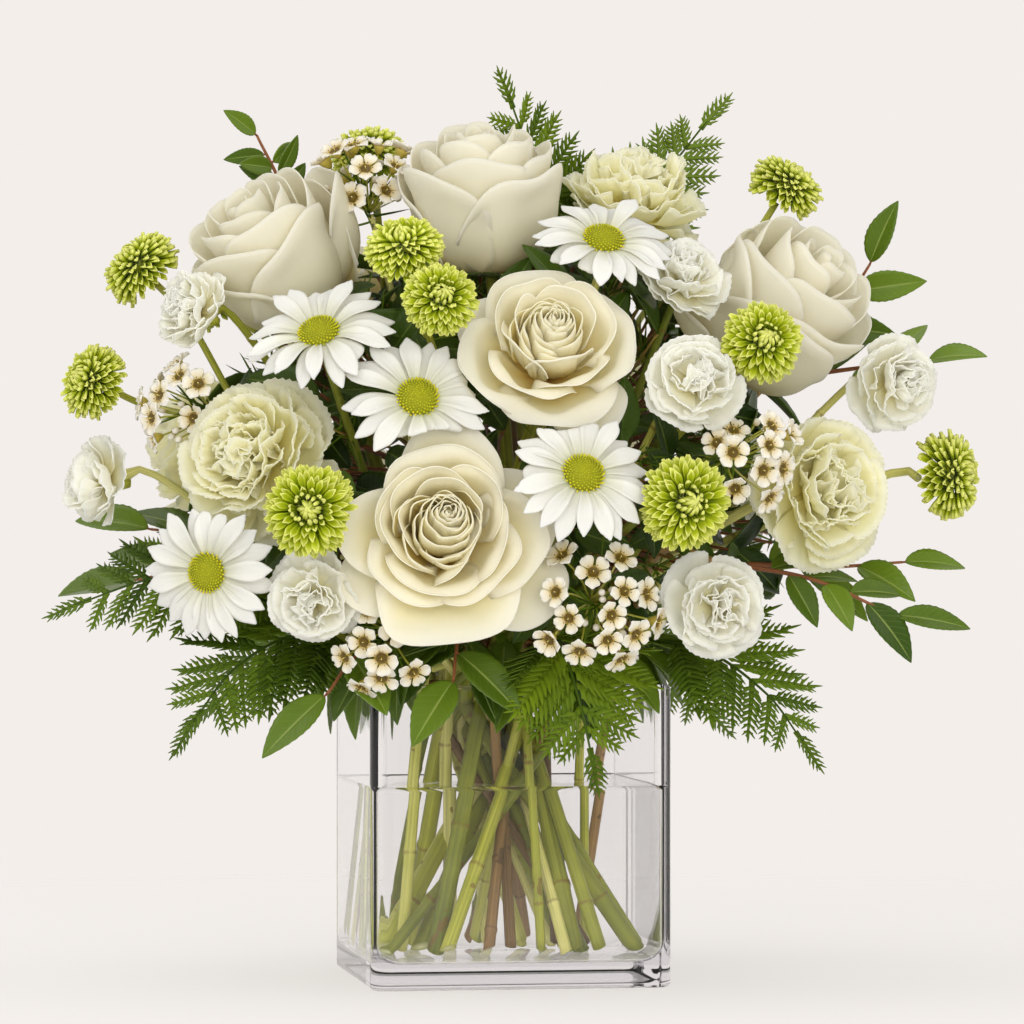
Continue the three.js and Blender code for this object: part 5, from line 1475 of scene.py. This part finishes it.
def rim_leaves(leaves, twigs, chance):
    """Leaves on short twigs that come over the rim on every side, some level and some hanging, and more
    leaves inside them."""
    top = VASE["height"]
    for k in range(RIM["leaves"]):
        azimuth = math.radians(360 * (k + chance.uniform(-0.35, 0.35)) / RIM["leaves"])
        drop = chance.uniform(0.0, 0.95)
        edge = VASE["width"] / 2 / max(abs(math.cos(azimuth)), abs(math.sin(azimuth)))
        start = polar(edge - mix(16, 1, drop), azimuth, top + mix(16, 9, drop) + chance.uniform(0, 6))
        aside = azimuth + chance.uniform(-0.5, 0.5)
        way = unit(polar(mix(1.0, 0.35, drop), aside, -mix(0.25, 1.0, drop)))
        rim_leaf(leaves, start, way, azimuth, chance)
        points = [polar(24, azimuth, top + 12), polar(edge * 0.6, azimuth, top + 18), start + way]
        twigs.tube(curve_through(points, 8), 0.8, 6, chance.random())
    for k in range(RIM["inner_leaves"]):
        azimuth = math.radians(360 * (k + chance.uniform(-0.4, 0.4)) / RIM["inner_leaves"])
        start = polar(chance.uniform(38, 58), azimuth, top + chance.uniform(14, 44))
        way = unit(polar(1.0, azimuth + chance.uniform(-0.9, 0.9), chance.uniform(-1.4, 0.2)))
        rim_leaf(leaves, start, way, azimuth, chance)
        twigs.tube([polar(20, azimuth, start[2] - 12), start + way], 0.8, 6, chance.random())


def filler_leaf(leaves, spot, out, chance):
    """A leaf that lies nearly flat on the shell, if it finds a way clear of the heads."""
    nearby = heads_near(spot, FILL["leaf_near"])
    length = chance.uniform(26, 36)
    for _ in range(FILL["tries"]):
        flat = unit(np.cross(out, chance.normal(size=3)))
        way = unit(0.85 * flat + 0.5 * out)
        if not any(any_fills(nearby, spot + way * length * t, 1.0) for t in (0.5, 1.0)):
            leaf(leaves, spot, way, square_to(way, out), length, chance, nearby, *FILL["leaf_grid"])
            return


def fill_gaps():
    chance = seeded("between the heads")
    rim, leaves, sprigs, twigs = Skin(), Skin(), Skin(), Skin()
    rim_leaves(rim, twigs, chance)
    for spot, out in fill_spots(FILL["leaves"], chance, 0.9):
        filler_leaf(leaves, spot, out, chance)
        back = spot - out * 40
        sag = (spot + back) / 2 + chance.uniform(-3, 3, 3)
        twigs.tube(curve_through([back, sag, spot], 5), 0.7, 5, chance.random())
    for spot, out in fill_spots(FILL["sprigs"], chance, 0.97):
        nearby = heads_near(spot, FILL["sprig_near"])
        root = spot - out * 22
        twigs.tube([root, spot], 0.5, 5, chance.random())
        for _ in range(FILL["needles"]):
            start = root + (spot - root) * chance.uniform(0.1, 1.0)
            way = unit(out + 0.8 * chance.normal(size=3))
            length = chance.uniform(10, 18)
            if not any_fills(nearby, start + way * length, 0.0):
                needle(sprigs, start, way, length, chance)
    piece("rim_leaves", rim, LOOKS["leaf"], "leaf")
    # The leaves between the heads take the darker copy of the leaf colours, painted shade.
    piece("filler_leaves", leaves, LOOKS["leaf_in_painted_shade"], "leaf")
    piece("filler_sprigs", sprigs, LOOKS["fern"], "fern")
    piece("filler_twigs", twigs, LOOKS["twig"], "stem")


# ------------------------------------------------------------------ vase and water

# The water overlaps the glass by this much, so that no air shows between them. Its edge creeps up the
# glass: how far in from the glass and how far above its level each ring of its surface is.
WATER_OVERLAP = 0.04
WATER_SURFACE = ((0.0, 0.5), (0.4, 0.25), (1.0, 0.08), (2.0, 0.0), (20.0, 0.0), (50.0, 0.0))
FLOOR_RINGS = (0.06, 0.35, 0.65, 0.88, 1.0)
# A ring just before or after a rounding keeps the flat next to it flat.
HOLD = 1.5
CORNER_HOLD = 1.2


def rounded_square(half, corner, z):
    """A ring of points round a square with round corners, and a point just before and after each."""
    ring = []
    lead = min(CORNER_HOLD, corner)
    for start in np.radians([0, 90, 180, 270]):
        middle = polar((half - corner) * math.sqrt(2), start + math.pi / 4, 0.0)
        before, after, _ = axes_at(start)
        ring.append(middle + before * corner - after * lead)
        ring.extend(middle + polar(corner, np.linspace(start, start + math.pi / 2, 9), 0.0))
        ring.append(middle + after * corner - before * lead)
    ring = np.array(ring)
    ring[:, 2] = z
    return ring


def inside_profile(gap):
    """The inside of the vase from the middle of its floor to its wall: distance out and height."""
    half = VASE["width"] / 2 - VASE["wall"] - gap
    fillet = VASE["fillet"]
    base = VASE["floor"] + gap
    rows = [(s * (half - fillet), base + VASE["dome"] * (1 - s ** 2)) for s in FLOOR_RINGS]
    for a in np.radians(np.linspace(15, 90, 6)):
        rows.append((half - fillet + fillet * math.sin(a), base + fillet * (1 - math.cos(a))))
    return rows


def clear_piece(name, rings, kind, node):
    skin = Skin()
    skin.rings(rings, np.zeros(len(rings)))
    piece(name, skin, LOOKS[kind], kind, node)


def vase():
    half, corner, inner_corner = VASE["width"] / 2, VASE["corner"], VASE["inner_corner"]
    inner = half - VASE["wall"]
    bevel, lip = VASE["bevel"], VASE["wall"] / 2
    top = VASE["height"]
    rings = []
    for s in (0.06, 0.5, 0.97, 1.0):
        rings.append(rounded_square(s * (half - bevel), max(corner - bevel, 1) * max(s, 0.2), 0.0))
    for a in np.radians([30, 60, 90]):
        out = bevel * math.sin(a) - bevel
        rings.append(rounded_square(half + out, corner + out, bevel * (1 - math.cos(a))))
    rings.append(rounded_square(half, corner, bevel + HOLD))
    rings.append(rounded_square(half, corner, top - lip - HOLD))
    for a in np.radians(np.linspace(0, 180, 9)):
        out = lip * math.cos(a)
        corner_here = mix(inner_corner, corner, (out + lip) / (2 * lip))
        rings.append(rounded_square(half - lip + out, corner_here, top - lip + lip * math.sin(a)))
    rings.append(rounded_square(inner, inner_corner, top - lip - HOLD))
    rows = inside_profile(0.0)
    rings.append(rounded_square(inner, inner_corner, rows[-1][1] + HOLD))
    for reach, z in rows[::-1]:
        rings.append(rounded_square(reach, min(inner_corner, 0.8 * reach), z))
    clear_piece("glass_vase", rings, "glass", "vase")


def water():
    half = VASE["width"] / 2 - VASE["wall"] + WATER_OVERLAP
    corner = VASE["inner_corner"] + WATER_OVERLAP
    rows = inside_profile(-WATER_OVERLAP)
    levels = rows + [(half, rows[-1][1] + HOLD), (half, WATER_LEVEL - HOLD)]
    levels += [(half - inset, WATER_LEVEL + rise) for inset, rise in WATER_SURFACE]
    rings = [rounded_square(reach, min(corner, 0.8 * reach), z) for reach, z in levels]
    clear_piece("vase_water", rings, "water", "water")


# ------------------------------------------------------------------ the bouquet

for rose_name, head in ROSES.items():
    rose(rose_name, *head)
for carnation_name, head in CARNATIONS.items():
    carnation("carnation", carnation_name, *head)
for daisy_name, head in DAISIES.items():
    daisy(daisy_name, *head)
for pom_name, spray in POMS.items():
    pom_spray(pom_name, *spray)
for mini_name, head in MINIS.items():
    carnation("mini", mini_name, *head)
for spray_name, spray in WAXFLOWERS.items():
    waxflower(spray_name, *spray)
for fern_name, fern_fronds in FERNS.items():
    fern(fern_name, fern_fronds)
for shoot_name, shoot_twigs in SHOOTS.items():
    shoot(shoot_name, shoot_twigs)
fill_gaps()
stem_run()
vase()
water()


# ------------------------------------------------------------------ floor, light and camera

BACKDROP = (0.896, 0.855, 0.823)
FLOOR = {"colour": (0.93, 0.90, 0.875, 1), "half": 4, "fade": (0.3, 1.2, 0.6, 1.0)}
# Reflections see a room that darkens towards -Y: where that starts and ends, and how dark and bright it is.
ROOM = (-0.75, -0.1, 0.35, 1.0)
WORLD = {"colour": (0.97, 0.98, 1.0, 1), "strength": 0.80}
# Each lamp: its place, its square's side and its power, and whether reflections see it.
AIM = (0, 0, 0.2)
LAMPS = {
    "key": ((-1.4, -2.1, 1.3), 1.4, 12, True),
    "front": ((0.1, -2.6, 0.5), 1.6, 29, False),
    "top": ((-1.1, 0.0, 2.2), 1.5, 7, True),
}
# The photograph's camera stands level 2.1 m off and 9 degrees to the left of the vase's front.
CAMERA = {"place": (-0.3275, -2.0777, 0.1857), "turn": 9.1, "lens": 172.3, "sensor": 36, "shift": 32 / 1024,
          "clip": (0.1, 20)}


def floor():
    """A pale floor that fades into the backdrop away from the vase."""
    mesh = bpy.data.meshes.new("floor")
    r = FLOOR["half"]
    mesh.from_pydata([(-r, -r, 0), (r, -r, 0), (r, r, 0), (-r, r, 0)], [], [(0, 1, 2, 3)])
    made = bpy.data.objects.new("floor", mesh)
    bpy.context.scene.collection.objects.link(made)
    s = new_shader("pale_floor")
    where = s.node("NewGeometry").outputs["Position"]
    away = s.node("VectorMath", {0: where}, operation="LENGTH").outputs["Value"]
    start, end, low, high = FLOOR["fade"]
    fade = s.node("MapRange", {0: away, 1: start, 2: end, 3: low, 4: high}, interpolation_type="SMOOTHSTEP")
    paint = s.node("BsdfDiffuse", {"Color": FLOOR["colour"]})
    clear = s.node("BsdfTransparent")
    mesh.materials.append(s.finish(s.mixed(fade.outputs[0], paint.outputs[0], clear.outputs[0])))


def world():
    """A pale backdrop, and softer light from all round."""
    s = Shader(bpy.data.worlds.new("studio"))
    path = s.node("LightPath").outputs
    way = s.node("SeparateXYZ", {0: s.node("TexCoord").outputs["Generated"]}).outputs
    room = s.ranged(way["Y"], *ROOM)
    bright = s.node("Mix", {0: path["Is Glossy Ray"], 2: 1.0, 3: room}).outputs[0]
    seen = s.node("Background", {"Color": (*BACKDROP, 1), "Strength": bright}).outputs[0]
    lit = s.node("Background", {"Color": WORLD["colour"], "Strength": WORLD["strength"]}).outputs[0]
    lights = s.maths("MAXIMUM", path["Is Diffuse Ray"], path["Is Shadow Ray"])
    bpy.context.scene.world = s.finish(s.mixed(lights, seen, lit), "OutputWorld")


def lamp(name, place, size, power, glossy):
    data = bpy.data.lights.new(name, "AREA")
    data.shape = "RECTANGLE"
    data.size = size
    data.size_y = size
    data.energy = power
    made = bpy.data.objects.new(name, data)
    made.location = place
    made.rotation_mode = "QUATERNION"
    made.rotation_quaternion = (Vector(AIM) - Vector(place)).to_track_quat("-Z", "Y")
    made.visible_camera = False
    made.visible_transmission = False
    made.visible_glossy = glossy
    bpy.context.scene.collection.objects.link(made)


def camera():
    data = bpy.data.cameras.new("camera")
    data.lens = CAMERA["lens"]
    data.sensor_width = CAMERA["sensor"]
    data.shift_y = CAMERA["shift"]
    data.clip_start, data.clip_end = CAMERA["clip"]
    made = bpy.data.objects.new("camera", data)
    made.location = CAMERA["place"]
    made.rotation_euler = (math.radians(90), 0, -math.radians(CAMERA["turn"]))
    bpy.context.scene.collection.objects.link(made)
    bpy.context.scene.camera = made


floor()
world()
for lamp_name, settings in LAMPS.items():
    lamp(lamp_name, *settings)
camera()
view = bpy.context.scene.view_settings
view.view_transform = "Standard"
view.look = "None"
